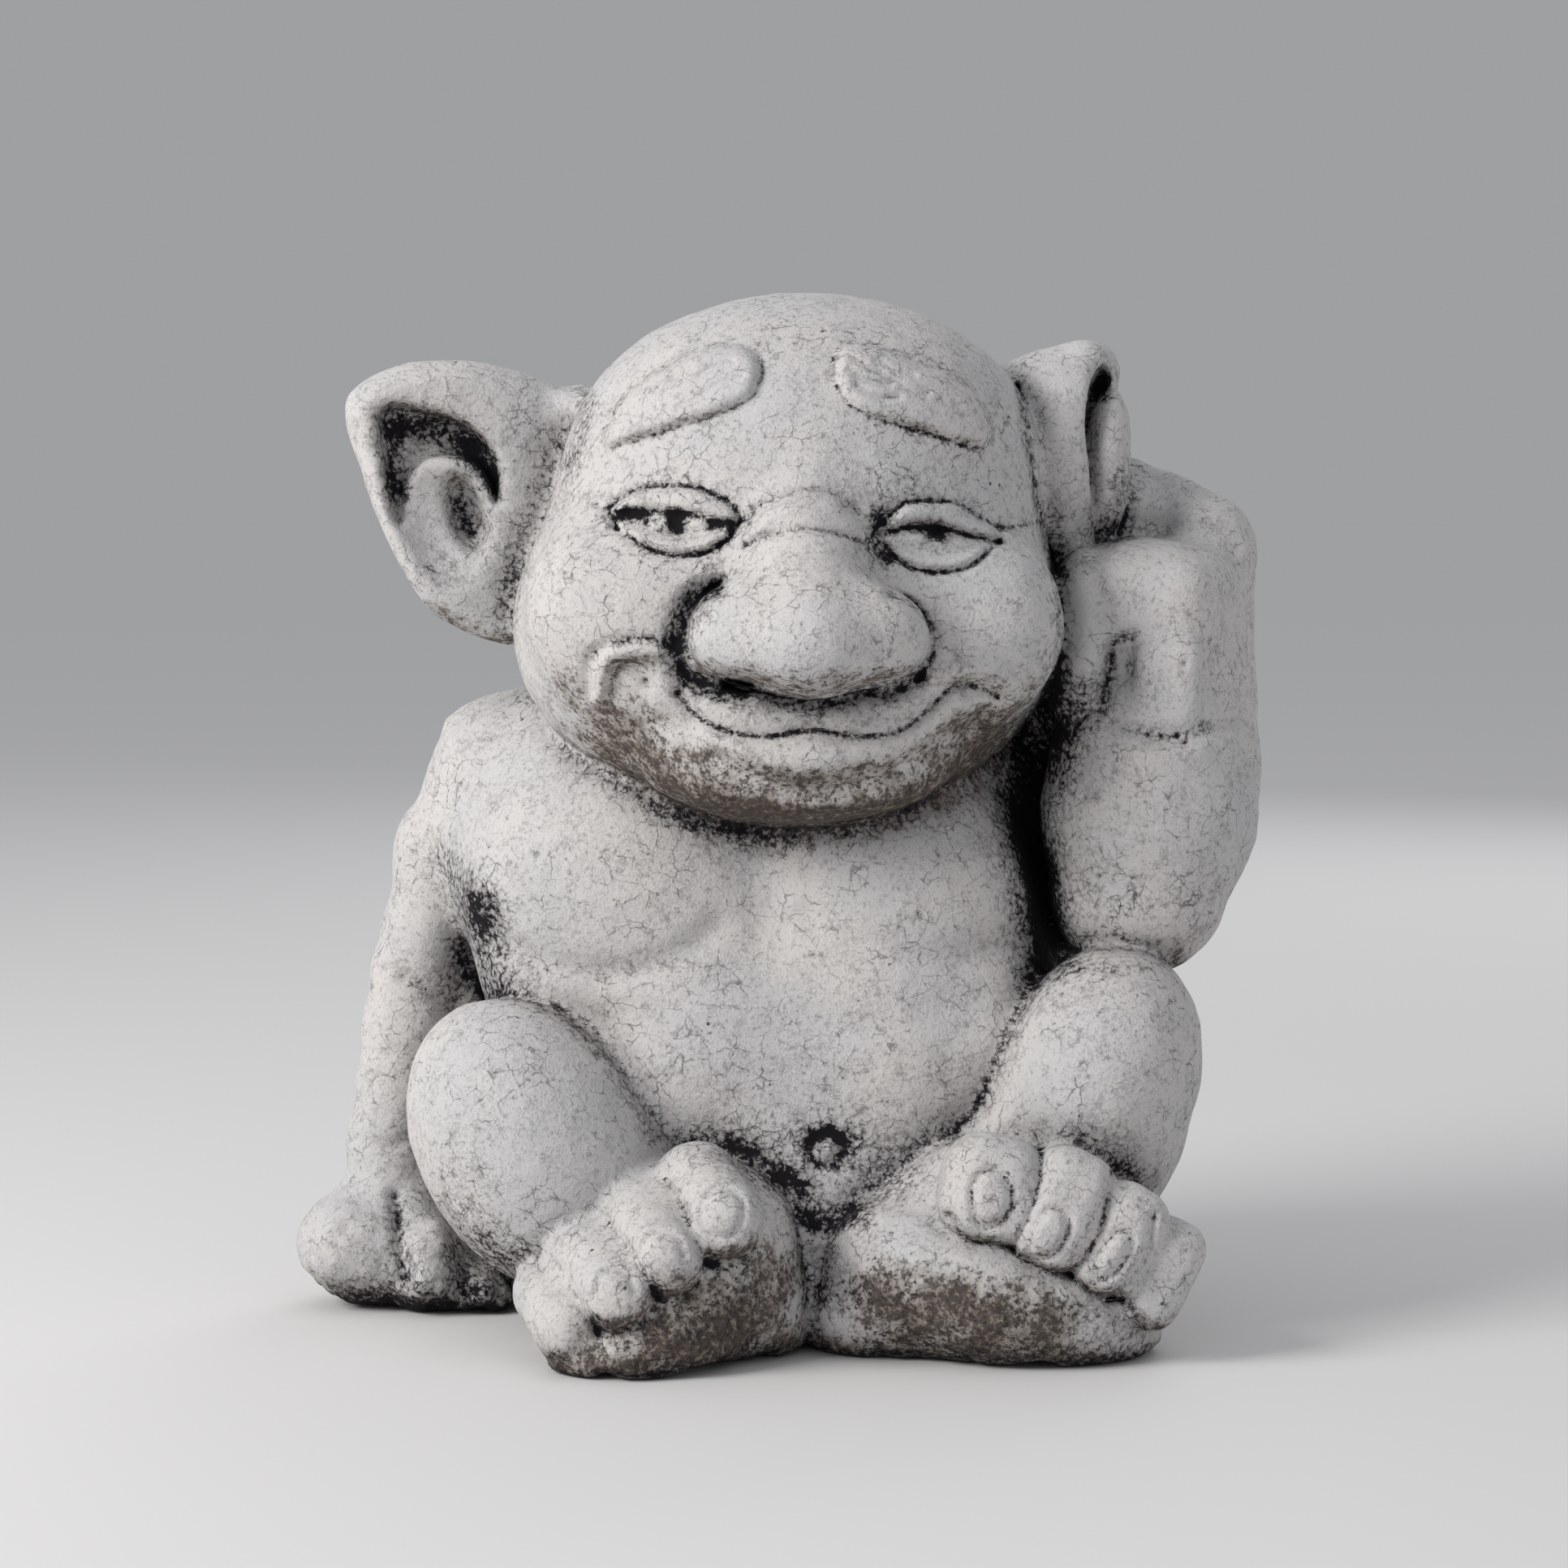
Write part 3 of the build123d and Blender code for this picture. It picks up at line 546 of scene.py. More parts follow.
# Tool marks. A line without a colon names the masses worked on by the marks below it.
# A mark is its kind, width and height (mm, negative is cut in), then its path.
# Kinds: s stroke, d dome, p plateau, o points; g and f are only painted: g is dark dirt, which in
# recesses, under the chin and round the nose is also painted shade, and f is brown film, partly
# painted shade under the chin.
# brown chin film, also painted shade under the chin; a wide painted shade along the chin's lower
# edge; and the painted shadow line of the neck
# dirt and painted shadow beside the left nose wing and under the nose, with a wide painted shade
# round it
# less dirt and painted shade beside the deep creases
# painted shade and dirt: black and grey laid into the recess beside the raised arm, and into the
# hollow inside the leaning one
# painted shade on the lower, underside part of the forearm, with dirt
# painted shade under the lower lid
# painted shade, with some dirt: the wide marks in the recesses between hand, head and ear
RELIEF = """
# brows
head
d 3.2 2.7: left_brow
d 3.2 2.7: right_brow
s 0.8 -0.8: 15.3,95.6 18.9,93.5 21.8,92.4
s 0.8 -0.8: 14.5,92.7 19.3,90.2 23.6,89.5
s 0.8 -0.8: 16,89.5 21.1,86.9 25.5,86.5
s 0.8 -0.6: 20.7,94.9 25.1,92.7 29.1,91.6
s 0.8 -0.6: 24.4,90.2 28.7,88 32,87.6
s 0.8 -0.6: -12,94.5 -15.6,93.5 -18.9,91.6
s 0.8 -0.6: -9.5,91.3 -13.8,89.8 -18.2,88
s 0.8 -0.6: -21.1,93.5 -25.5,90.9 -29.1,88.4
# left eye
s 7 -0.9: -34.2,57.5 -24.2,56.9 -13.5,57.5
d 2.2 2: -38.9,61.3 -34,65.3 -30.2,66.2 -25.5,66.5 -19.3,66 -15.5,64.2 -12.2,62.5 -10.2,59.3
 -11.1,58.5 -15.5,59.1 -18.9,60 -22.2,60.7 -26.2,61.1 -28.9,61.5 -34,61.5 -36.9,60.7
s 0.9 -0.75: left_upper_lid
p 1 -0.7: -36.9,60.5 -34,61.3 -28.9,61.1 -22.2,60.5 -18.9,59.6 -15.5,58.7 -11.5,58.4 -12.5,57.3
 -16.9,56.4 -22.2,55.6 -26.2,55.6 -30.7,56.7 -34.4,57.5 -37.5,59.1
d 2 1: -30.2,60.2 -26.5,60.5 -21.8,60.2 -16.7,59.1 -17.5,57.1 -21.8,56.2 -26.5,56.4 -29.6,57.5
d 1.8 1.2: -37.8,59.1 -34.4,57.5 -30.7,56.5 -26.2,55.5 -22.2,55.5 -16.9,56.2 -12.5,57.1
 -11.1,57.8 -12.2,56 -14.7,53.8 -17.5,52.2 -20.7,51.6 -24.4,51.6 -28,52.4 -31.6,53.8 -34.9,55.8
s 0.9 -1.2: -38,59.3 -37.3,57.3 -35.1,55.6 left_lower_lid -10.5,58
o 1.9 -1.3: -24.2,58.5
s 0.8 -0.55: -38.9,60.5 -42,59.3 -46.2,57.1
s 0.8 -0.55: -37.5,57.1 -40.4,55.8 -44.4,53.5
all
g 0.55 0.36: left_upper_lid
g 1.3 0.16: -19.3,67.1 -15.5,65.3 -12,63.5 -9.8,60.7
g 2.3 1.8: -24.2,59.1 -24.2,58
g 1.5 1.25: -36.2,60.5 -32.7,60 -30.9,59.1
g 0.8 0.9: -36.7,60.9 -34,61.4 -28.9,61.1 -26.2,60.9 -21.8,60.6
g 0.6 0.7: -20.7,60.4 -18.9,59.8 -15.5,58.9 -11.5,58.4
g 1.3 1.15: -15.6,58.2 -11.8,58
g 0.7 0.48: -34.2,54.9 left_lower_lid
g 1.7 0.28: -18.2,50.9 -14.5,52.9 -11.5,56
g 0.6 0.5: -39.3,61.6 -38.2,59.3 -37.3,57.3
g 3 0.16: -40.4,60.4 -36,64.4 -32,66.4 -25.5,67.5 -19.6,66.9 -13.8,64.5 -9.5,59.3 -12.2,54.9
 -22,50.9 -31.6,52.9 -37.5,56.5
g 3.2 0.22: -43.6,63.5 -40.7,62.2 -39.6,60
# right eye
head
s 7 -0.8: 24.4,54.7 35.3,54.2 46.2,54.2
d 2.2 1.8: 22.9,57.8 26,62 29.5,62.9 34.4,63 38.5,62.5 42.7,60 48.2,57.1 47.8,54.9 45.6,55.1
 41.5,56 37.3,57.2 32.4,58 27.6,57.8 24.4,57.1
s 0.9 -0.75: 22.5,58.7 right_upper_lid
s 0.9 -1: right_lid_edge
d 2.2 0.9: 28.7,56.4 32.4,57.1 37.3,56.4 41.5,55.1 44.4,54.2 41.6,52.9 37.1,52.4 31.6,52.7
 28.4,54.2
d 1.8 1.1: 24,54.2 28.4,52.7 33.5,51.5 38.9,51.6 44.4,53.3 47.3,53.8 46,52.5 42.9,49.8
 38.5,48.2 33.6,47.8 29.5,48.5 25.8,50.5 24,52.5
s 0.9 -1.1: 22.9,53.5 25.6,50.3 29.5,48.1 right_lower_lid
o 1.7 -1.2: 34.2,56.2
s 2.2 -1.6: 21.1,57.8 20.7,55.3 21.5,52
s 0.8 -0.6: 48,57.1 51.6,57.6 56.7,58.7
s 0.8 -0.5: 48,54.4 53.8,52.5
all
g 0.55 0.3: right_upper_lid
g 0.6 0.42: right_lid_edge
g 1.1 0.5: 24,56.5 27.6,57.3 30.9,57.1
g 1.9 1.7: 33.6,56.4 34.9,56.2
g 0.6 0.3: 24.4,54.2 28,54 30.9,53.5
g 0.8 0.62: 23.6,51.3 25.6,50.2 29.5,48.1 33.6,47.4
g 0.6 0.42: right_lower_lid
g 2.5 1: 21.6,58.5 20.5,55.6 21.3,52 22.5,50.2
g 2.2 0.2: 20,59.3 24,62.5 29.5,64.4 34.9,64.5 41.1,63.3 45.3,60.4 49.8,57.3
g 3.2 0.3: 21.5,61.8 24.4,64.4 28,65.5
g 0.8 0.4: 48.5,57.4 51.6,57.6 57.1,58.7
# bridge wrinkles
head
s 1.8 1.1: -6.2,57.1 -2.9,60 1.6,61.6 6.7,61.6 11.6,60.7 15.3,58.2
s 1 -0.9: lower_wrinkle
s 1.2 -0.9: upper_wrinkle
all
g 0.85 0.34: lower_wrinkle
g 1.9 0.25: upper_wrinkle
# nose surroundings
head
s 2.6 -3: -14.9,44.4 -19.6,42.4 -22.4,38.4 -23.6,33.8 -23.5,28.7 -21.5,24.4 -15.6,21.5 -9.3,20.7
s 2 -2.2: -12.5,22.5 -5.6,21.1 -0.2,18.9 8.9,18.2 17.1,20.5 24.4,21.1 30.2,24
s 1.3 -1.5: 24,42.4 29.5,40 33.1,34.7 33.1,28.7 30.2,23.3
o 3.2 -1.1: -7.5,21.8
o 3 -1: 20.4,21.8
all
g 2.5 0.92: -16,43.6 -19.6,42 -22.4,38.4 -23.6,33.8 -23.5,28.7 -21.5,24 -15.6,21.5 -9.3,20.7
g 1.6 0.68: -12.5,22.2 -5.6,20.7 -0.2,18.5 8.9,17.8 17.1,20 24.4,20.7 30.9,24.4
g 0.94 0.56: 24,42.4 29.5,40 33.1,34.7 33.3,28.7 30.9,23.6
g 5.5 0.21: -17.5,42.9 -23.6,35.6 -23.6,26.5 -15.6,18.9 -1.1,16 11.6,16 24.4,18.2 33.5,23.6
g 2.2 0.22: 7.1,30.5
g 1.3 0.37: -15.6,44.7 -11.1,47.5
# mouth
head
s 4 1.5: -15.6,17.8 -6.5,14.9 6.2,15.6 17.1,14.5 28,18.2
s 1.1 -1.35: -23.6,20.2 -19.6,15.3 -14,12.2 -7.1,10.7 -1.5,10.7 3.5,12 8,12 12.5,11.1 16.5,10.5
 23.6,11.1 28.4,13.3 33.3,17.5 37.5,21.5 40.7,22.5 44,21.8 47.5,19.8
s 4.2 2.6: -15.6,8.9 -7.1,6.4 2.5,5.6 12.4,6.2 22.5,8.2 31.6,12.2 38.9,17.1
s 2.4 -1.7: -15.6,6.2 -5.6,1.3 2.7,-0.9 12.4,-0.5 23.6,2.7 33.3,7.6 42.4,13.3
s 5 1.6: -17.5,-0.7 -2.9,-5.1 11.6,-5.1 26.2,-1.5
s 2.4 1.2: 38.5,25.1 43.5,26.9 48.9,24.7 51.6,21.1 50.7,15.6 45.3,11.6
o 2.2 -1.6: 41.8,20.9
s 1.4 -0.7: 40.7,28 46.2,28.7 51.6,25.5 54.2,20.7 53.5,15.6
s 1.6 -1.1: -43.3,20.7 -43.5,25.5 -42.2,29.1 -37.6,32 -31.5,32.5 -25.5,31.5
s 2.3 1.6: -41.5,20 -40.7,25.8 -37.1,29.5 -30.2,30.4 -24.4,30
s 1.6 -1.2: -38.9,20 -38,24.7 -35.3,26.2 -32,25.1 -30.4,22.7
o 4.5 1.2: -27.5,17.8
o 1.3 -1.3: -24,20.7
all
g 0.7 0.34: -24.4,21.1 -19.6,15.3 -14,12.2 -7.1,10.7 -1.5,10.7 3.5,11.8 8,11.8 13.5,10.9
 19.8,10.5 28.4,13.3 33.3,17.5 38.2,21.5
g 1.1 0.31: 38.9,21.8 43.3,21.8 47.3,19.8
g 1.1 0.65: -37.6,32 -31.5,32.5 -24.7,30.9
g 0.85 0.56: -30.9,23.3
# chin film and the shadow line of the neck
f 7 0.16: -37.5,13.8 -21.1,2 -2.9,-4.7 15.3,-4.4 31.6,0.7 46.2,11.1
f 8 0.42: -33.8,6.2 -19.3,-1.6 -1.1,-7.1 15.3,-6.7 29.8,-2.5 44.4,6.5
g 7.6 0.15: -30.2,3.8 -15.6,-4.7 -1.1,-8.4 13.5,-8 28,-3.5 42.5,5.6
torso
g 4.2 0.28: -50.2,11.1 -37.5,0.2 -21.1,-8.9 -1.1,-12.5
# trunk and navel
s 3.6 -1.5: -65.1,-33.5 -58.2,-38.5 -50.2,-40.7 -38.2,-42.2 -24.7,-39.3 -15.6,-32
s 3.6 -1.4: 6.2,-28.9 15.3,-35.3 29.8,-39.1 42.5,-38.2 52.5,-33.5
s 7 -0.8: -4.7,-15.3 -3.8,-29.8
s 4 -0.5: -50.2,-51.6 -21.1,-55.6 6.2,-55.6 29.8,-51.6
torso+legR+footR+footL
o 4.7 -2.8: 9.5,-82.2
o 2.1 3.3: 9.5,-82
all
g 1.2 0.85: 9.5,-78.2 12.2,-79.1 13.5,-82 12.2,-84.7 9.5,-85.8 6.7,-84.7 5.5,-82 6.7,-79.1
 9.5,-78.2
g 2.2 0.55: 5.5,-79.6 9.5,-77.6 14.2,-79.6
g 2.7 0.19: -59.3,-41.1 -38.2,-42.5 -24.7,-40
g 2.2 0.46: -62.9,-46.5 -52,-50.5 -42.5,-58.5 -34.5,-69.1 -29.1,-78.9
g 2 0.43: 55.6,-44.7 50.5,-57.1 43.3,-72 37.5,-79.3
g 3.7 0.34: -11.1,-81.1 -4.7,-86.2 1.6,-91.6 8,-97.1 15.3,-95.3 21.6,-90.2
g 2.5 0.68: -1.1,-87.3 4.4,-90.2
g 2.5 0.68: 3.5,-97.1 9.8,-99.3 16.2,-95.6
g 2.2 0.36: -11.1,-80.4 -7.5,-83.5
g 7.6 0.19: -12,-80.7 -1.1,-88 8,-95.3 18.9,-91.6 26.2,-84.4
g 4.2 0.19: 4.4,-108 7.1,-97.1
# the recess beside the raised arm, and the hollow inside the leaning one
g 6 0.68: 53.8,11.1 53.1,-2.5 54.5,-17.1 56.4,-31.6 58,-38.9
g 10 0.22: 58.9,12 58,-6.2 58.9,-24.4 60.7,-38.9
torso+armL
g 6 0.75: -68,-28 -66.5,-37.1 -66.4,-47.1
g 4 0.5: -76.5,-17.1 -72,-22.5 -68,-29.8
armL
g 1.9 0.31: -84.7,-44 -79.3,-46.5 -73.8,-47.1
# raised hand
armR
s 2.6 -1.3: 74.2,60 80.7,58.5 88,57.5 95.6,56 100.7,53.5
s 1.7 -1.3: 77.5,33.1 74.9,32.2 73.5,30.2 72.9,25.5 71.8,21.1 71.5,16.4
s 2.2 -1.6: 73.8,13.8 78.9,11.6 85.3,10.5 90.5,11.1 95.3,13.1 100.4,14.2
s 3 0.8: 76,7.5 84.4,6 93.5,7.5
o 0.9 -1: 89.8,26.9 89.8,9.1 88,11.1 67.6,-3.1
g 1.1 0.46: 78.9,33.5 74.9,32.2 73.5,30.2 72.9,25.5 71.8,21.1 71.5,16.4
g 1.4 0.43: 79.8,11.6 85.3,10.5 90.5,11.1 93.8,12.7
g 3.4 0.19: 73.8,31.1 72,19.3
armR+head
g 5.1 0.46: 62.5,22.9 64,15.6 60.7,6.5
armR
g 5.1 0.28: 67.1,21.1 65.3,12 61.6,1.1
armR+earR
g 4.2 0.22: 76,68.4 74.9,62.5 73.1,59.3
armR+earR+head
g 2.4 0.55: 60.7,48.4 64,47.6 67.1,49.5
earR
g 4.2 0.31: 56.4,66.5 58.9,57.5 61.6,50.2
earR+head
g 1 0.75: ear_crease
head+armR
g 0.94 0.56: 60.7,48.4 61.5,39.6 62,31.3 60.7,22.9
earR
g 1.5 0.9: 70.4,89.1 71.5,89.8 72.2,86.9
g 1 0.25: 69.8,88.7 67.6,81.1 67.5,68.4 69.1,57.5
armR
g 7.6 0.15: 66.2,-22.5 78.9,-28 93.5,-24.4
all
g 2 0.34: 62.5,-39.8 69.8,-41.8 78.9,-41.1 88,-40
# the spread ear
earL
g 3.8 1.05: -88,81.1 -82.9,80.4 -76,78.5 -70.5,75.3
g 2.8 0.85: -87.6,77.5 -87.6,71.1 -86.5,65.5
g 2.8 0.75: -69.3,73.5 -66.5,68.7
g 2.2 0.62: -72.7,63.3 -71.1,59.3 -70.2,56.4
g 5.1 0.19: -73.8,62.9 -72,55.6 -76.5,50.2
earL+head
g 2.5 0.46: -44.4,86.9 -45.5,79.3 -47.6,72
g 2.5 0.24: -47.6,72 -50.2,64.7 -54.2,57.5 -59.3,50.2
g 2.9 0.38: -59.3,48.4 -60.7,41.1 -61.8,33.8
earL
g 8.5 0.087: -50.2,81.1 -55.6,66.5 -64.7,48.4
# leaning arm
armL
s 1.8 -1: -85.1,-43.5 -81.1,-44.5 -77.5,-47.3
s 1.6 -1: -96.4,-79.8 -89.3,-81.1 -82.9,-78.9
s 1.8 -1.8: -87.1,-92.5 -86.2,-100.7 -84.9,-110.2
s 1.8 -1.5: -74.7,-97.1 -72.7,-105.3 -71.6,-113.5
g 2.5 0.43: -87.1,-95.3 -86.2,-102.5 -84.9,-110.2
g 6 0.31: -88.4,-110.7 -77.5,-113.5 -66.5,-115.3
g 5.1 0.22: -81.1,-66.2 -83.3,-78.9 -82.5,-91.6
g 2.5 0.5: -74.7,-104.4 -72.7,-109.8 -68.4,-113.8
# thighs
legL
g 6.8 0.32: -73.8,-95.3 -62.9,-104.4 -50.2,-109.8
legR
g 6 0.26: 68.9,-78.9 76.2,-84.4 80.7,-89.8
# toenails, toe gaps and soles
footR
s 0.9 -1: nail_1
d 1.6 1: 42.5,-93.5 43.1,-89.5 45.5,-87.5 48.4,-88 50.2,-90.5 50.2,-94.2 48.7,-97.1 45.8,-98.5
 43.6,-97.1
s 0.9 -1: nail_2
d 1.6 0.9: 55.5,-102.5 56.7,-98.9 59.5,-96 62,-96.4 63.3,-98.2 62.4,-102 60,-104.7 57.3,-105.8
 55.6,-104.7
s 0.9 -0.9: nail_3
d 1.6 0.8: 70,-107.3 71.8,-103.8 74.5,-101.3 76.7,-101.5 77.3,-103.6 75.6,-106.7 73.1,-109.5
 71.1,-110
g 0.68 0.15: nail_1
g 0.68 0.15: nail_2
g 0.68 0.12: nail_3
footL
s 0.9 -0.9: -18.5,-97.1 -18,-93.1 -14.9,-90.5 -11.1,-91.3 -9.1,-94.5 -10,-99.3 -12.9,-101.6
 -16.7,-100.7 -18.5,-97.1
s 0.9 -0.8: -32,-105.3 -30.7,-101.6 -27.5,-100.4 -23.8,-101.8 -22.5,-105.8
s 0.9 -0.8: -42.4,-113.5 -41.1,-110.2 -37.8,-108.7 -34.7,-110.5 -33.8,-113.8
g 2.2 1: -16.4,-107.3
g 1.8 0.9: -27.8,-114.2 -29.1,-113.1
g 1.8 0.9: -41.6,-121.8 -42.5,-120.4
g 0.8 0.28: -22,-93.5 -20.7,-98.9 -18.9,-104.4
g 0.8 0.28: -34.7,-102.5 -32,-108 -29.1,-112.5
footR
g 0.8 0.3: 55.3,-91.6 52.5,-98.9 52,-105.3
g 0.8 0.3: 68.9,-97.1 65.3,-104.4 62.9,-109.8
g 0.8 0.3: 80.4,-103.5 76.7,-109.8 74.4,-115.3
footL
f 11 0.62: -21.1,-122.5 -12,-117.1 -2.9,-113.5
f 9 0.4: -41.1,-128 -26.5,-126.2 -12,-124.4
g 9 0.34: -30.2,-124.4 -17.5,-118.9 -6.5,-113.5
footR
f 8 0.75: 21.6,-114.9 33.5,-116.7 48,-118.9 58.9,-119.8
g 9 0.28: 17.1,-115.3 35.3,-117.1 57.1,-120.7 73.5,-122.5
footR+legR
g 4.2 0.25: 8,-113.5 17.1,-115.3
# brow outlines, closed
head
g 0.9 0.22: left_brow -40.4,76.5
g 0.9 0.3: right_brow 10.9,94.2
g 1 0.3: 19.3,82 30,78.9 42.5,74.9
armR+head+earR
g 4 0.28: 76,67.3 77.1,62.9 76,58.5
earR+head
s 0.9 -1.4: ear_crease
# toe grooves
footL
s 1.3 -1: -26.2,-88.9 -22.5,-95.3 -18.9,-104.7
s 1.3 -1: -38.9,-98.5 -34.2,-105.3 -29.1,-113.5
s 1.3 -0.9: -50.2,-108 -46.2,-115.3 -42.2,-122.5
s 1.3 -0.8: -17.8,-107.3 -13.1,-108 -6.9,-104.4
s 1.3 -0.8: -29.1,-115.3 -24,-115.3 -19.6,-111.3
s 1.3 -0.7: -42,-123.5 -36,-122.5 -30.2,-118.2
g 1 0.35: -17.8,-107.6 -13.1,-108.4 -8,-106.2
g 1 0.35: -28.7,-115.6 -24,-115.6 -20,-112.7
g 1 0.35: -41.5,-123.5 -36,-122.9 -30.9,-119.6
footR
s 1 -1.5: 57.8,-82.2 56.4,-93.5 51.6,-104
s 1 -1.5: 73.1,-86.9 70.9,-100.4 64,-110.2
s 1 -1.5: 82.7,-96.9 80.4,-106.9 72.7,-115.3
s 1.1 -1.2: 36.9,-96.5 42,-102.2 50.4,-103.3 56.2,-108.2 63.6,-109.8 70.4,-114.4 76.2,-115.3
 80.7,-121.1
g 0.9 0.55: 36.9,-96.5 42,-102.5 50.4,-103.5 56.2,-108.4 63.6,-110.2 70.4,-114.7 76.2,-115.6
 80.7,-121.1
# swept clean beside the deep creases
armR
g 3 -0.5: 65.1,47.5 65.5,37.5 65.1,26.5
earR
g 2 -0.35: 70,83.8 69.3,73.8 69.6,63.8
# the crease between belly and thigh, and specks around the navel
all
g 0.8 0.38: 54.9,-43.5 51.1,-53.1 47.6,-60.7 45.1,-67.3 41.1,-75.3 33.5,-80.4 27.1,-83.6
 21.1,-89.1
g 6.5 0.3: -6.5,-81.1 1.6,-86.5
g 6.5 0.3: 17.5,-83.5 25.3,-85.5
g 12 0.1: -12,-66.2 6.2,-71.6 24.4,-66.2
# the rough, dirty base of the leaning hand and the specks on the thigh beside it
armL
g 5 0.4: -95.6,-116.4 -77.5,-117.5 -62.9,-117.5
legL
g 4.5 0.34: -66.5,-104.4 -58.4,-108.9 -50.2,-113.1
all
g 4.5 0.28: 3.5,-77.5 15.3,-77.5
"""


def mark_amount(kind, width, u, v, points):
    """Strength of a mark, 0..1, at places on the view plane."""
    if kind in "sgf":
        if len(points) > 2:
            points = smooth(points)
        elif len(points) == 1:
            points = [points[0], (points[0][0] + 1e-3, points[0][1])]
        return np.exp(-distance_squared(u, v, points) / (width * width))
    if kind == "o":
        amount = np.zeros(len(u), f32)
        for a, b in points:
            spot = np.exp(-((u - a) ** 2 + (v - b) ** 2) / (width * width))
            amount = np.maximum(amount, spot)
        return amount
    t = np.clip(-outline_distance(u, v, smooth(points, closed=True)) / width, 0, 1)
    return t * t * (3 - 2 * t) if kind == "p" else 1 - (1 - t) ** 2


def relief(V, N, label):
    """Height, dirt and painted shade, brown film (partly painted shade) at every vertex, and the
    direction height is raised in.
    """
    u, v = [w.astype(f32) for w in project(V)]
    to_eye = EYE - V
    to_eye /= np.linalg.norm(to_eye, axis=1, keepdims=True)
    facing = (N * to_eye).sum(1)
    front = np.clip(facing / 0.25, 0, 1)
    height, dirt, film_and_shade = [np.zeros(len(V), f32) for _ in range(3)]
    names = [mass.name for mass in FIGURE]
    for head, text in table_rows(RELIEF):
        if not text:
            chosen = names if head == "all" else head.split("+")
            worked = np.isin(label, [names.index(name) for name in chosen]) & (front > 0)
            continue
        kind, width, amount = head.split()
        width, amount = float(width), float(amount)
        points = path(text)
        margin = 3 * width + 1 if kind in "sogf" else 1.0
        us, vs = zip(*points)
        idx = np.flatnonzero(worked & (u > min(us) - margin) & (u < max(us) + margin)
                             & (v > min(vs) - margin) & (v < max(vs) + margin))
        if not len(idx):
            continue
        mark = amount * mark_amount(kind, width, u[idx], v[idx], points)
        if kind == "g":
            dirt[idx] += mark
        elif kind == "f":
            film_and_shade[idx] += mark
        else:
            height[idx] += mark * front[idx]
    return height, dirt, film_and_shade, to_eye / np.maximum(facing, 0.45)[:, None]


def sculpt(h):
    """Vertices, quads and painted attributes of the figure at mesh spacing h."""
    V, Q = mesh_field(whole, BOX_LOW, BOX_HIGH, h)
    ring = Neighbours(Q, len(V))
    V = ring.blur(V, 2)
    N = normals(V, Q)
    P = V.astype(f32)
    label = np.stack([mass.at(P) for mass in FIGURE], 1).argmin(1)

    # wide occlusion, from how fast the field grows along the normal
    occlusion = np.zeros(len(V))
    for step in (3.0, 7.0, 14.0, 24.0):
        gap = whole((V + N * step).astype(f32), base=False)
        gap = np.minimum(gap, V[:, 2] + N[:, 2] * step + 2.0)
        occlusion += np.clip(1 - gap / step, 0, 1.2) * 0.25
    height, dirt, film_and_shade, raised = relief(V, N, label)

    # stone that was never quite smooth, roughest near the ground and under the film
    uneven = 0.22 * noise3(P, 9.0, 11) + 0.16 * noise3(P, 4.0, 12) + 0.07 * noise3(P, 1.9, 13)
    on_hand = label == FIGURE.index(LEANING_ARM)
    rough = (np.clip((16 - V[:, 2]) / 12, 0, 1)
             + np.where(on_hand, np.clip((34 - V[:, 2]) / 10, 0, 1), 0))
    rough = rough + np.clip(film_and_shade, 0, 0.8)
    uneven = uneven + rough * (0.45 * noise3(P, 5.0, 14) + 0.30 * noise3(P, 2.4, 15))
    uneven = uneven * np.clip((V[:, 2] - 0.3) / 1.5, 0, 1)
    V = V + N * uneven[:, None] + raised * height[:, None]
    V[:, 2] = np.maximum(V[:, 2], 0.0)
    N = normals(V, Q)

    # narrow and wide hollows, from the finished mesh blurred at two widths
    near = ring.blur(V, 3)
    far = ring.blur(near, 14)
    cavity = ((near - V) * N).sum(1) / (0.10 * h / 0.7)
    wide = ((far - V) * N).sum(1) / (0.40 * h / 0.7)
    # brown film and painted shade: the film marks, brown on down-facing undersides standing in for
    # their shade, and brown stain in the last few millimetres above the ground
    sole = (film_and_shade + np.clip((-N[:, 2] - 0.3) / 0.6, 0, 1) * 0.5
            + np.clip((7 - V[:, 2]) / 7, 0, 1) * 0.5)
    return V, Q, {"occ": ring.blur(occlusion, 3), "cav": ring.blur(cavity, 1),
                  "wide": ring.blur(wide, 3), "dirt": dirt,
                  "sole": np.clip(ring.blur(sole, 3), 0, 1)}


def to_object(name, V, Q, attributes):
    mesh = bpy.data.meshes.new(name)
    mesh.vertices.add(len(V))
    mesh.vertices.foreach_set("co", (V / 1000).astype(f32).ravel())
    mesh.loops.add(Q.size)
    mesh.loops.foreach_set("vertex_index", Q.astype(np.int32).ravel())
    mesh.polygons.add(len(Q))
    mesh.polygons.foreach_set("loop_start", np.arange(0, Q.size, 4, dtype=np.int32))
    mesh.update(calc_edges=True)
    mesh.polygons.foreach_set("use_smooth", np.ones(len(mesh.polygons), bool))
    for key, values in attributes.items():
        mesh.attributes.new(key, "FLOAT", "POINT").data.foreach_set("value", values.astype(f32))
    ob = bpy.data.objects.new(name, mesh)
    bpy.context.scene.collection.objects.link(ob)
    return ob


# -------------------------------------------------------------------- materials
def principled(name):
    material = bpy.data.materials.new(name)
    material.use_nodes = True
    nodes = material.node_tree.nodes
    return material, next(n for n in nodes if n.type == "BSDF_PRINCIPLED")


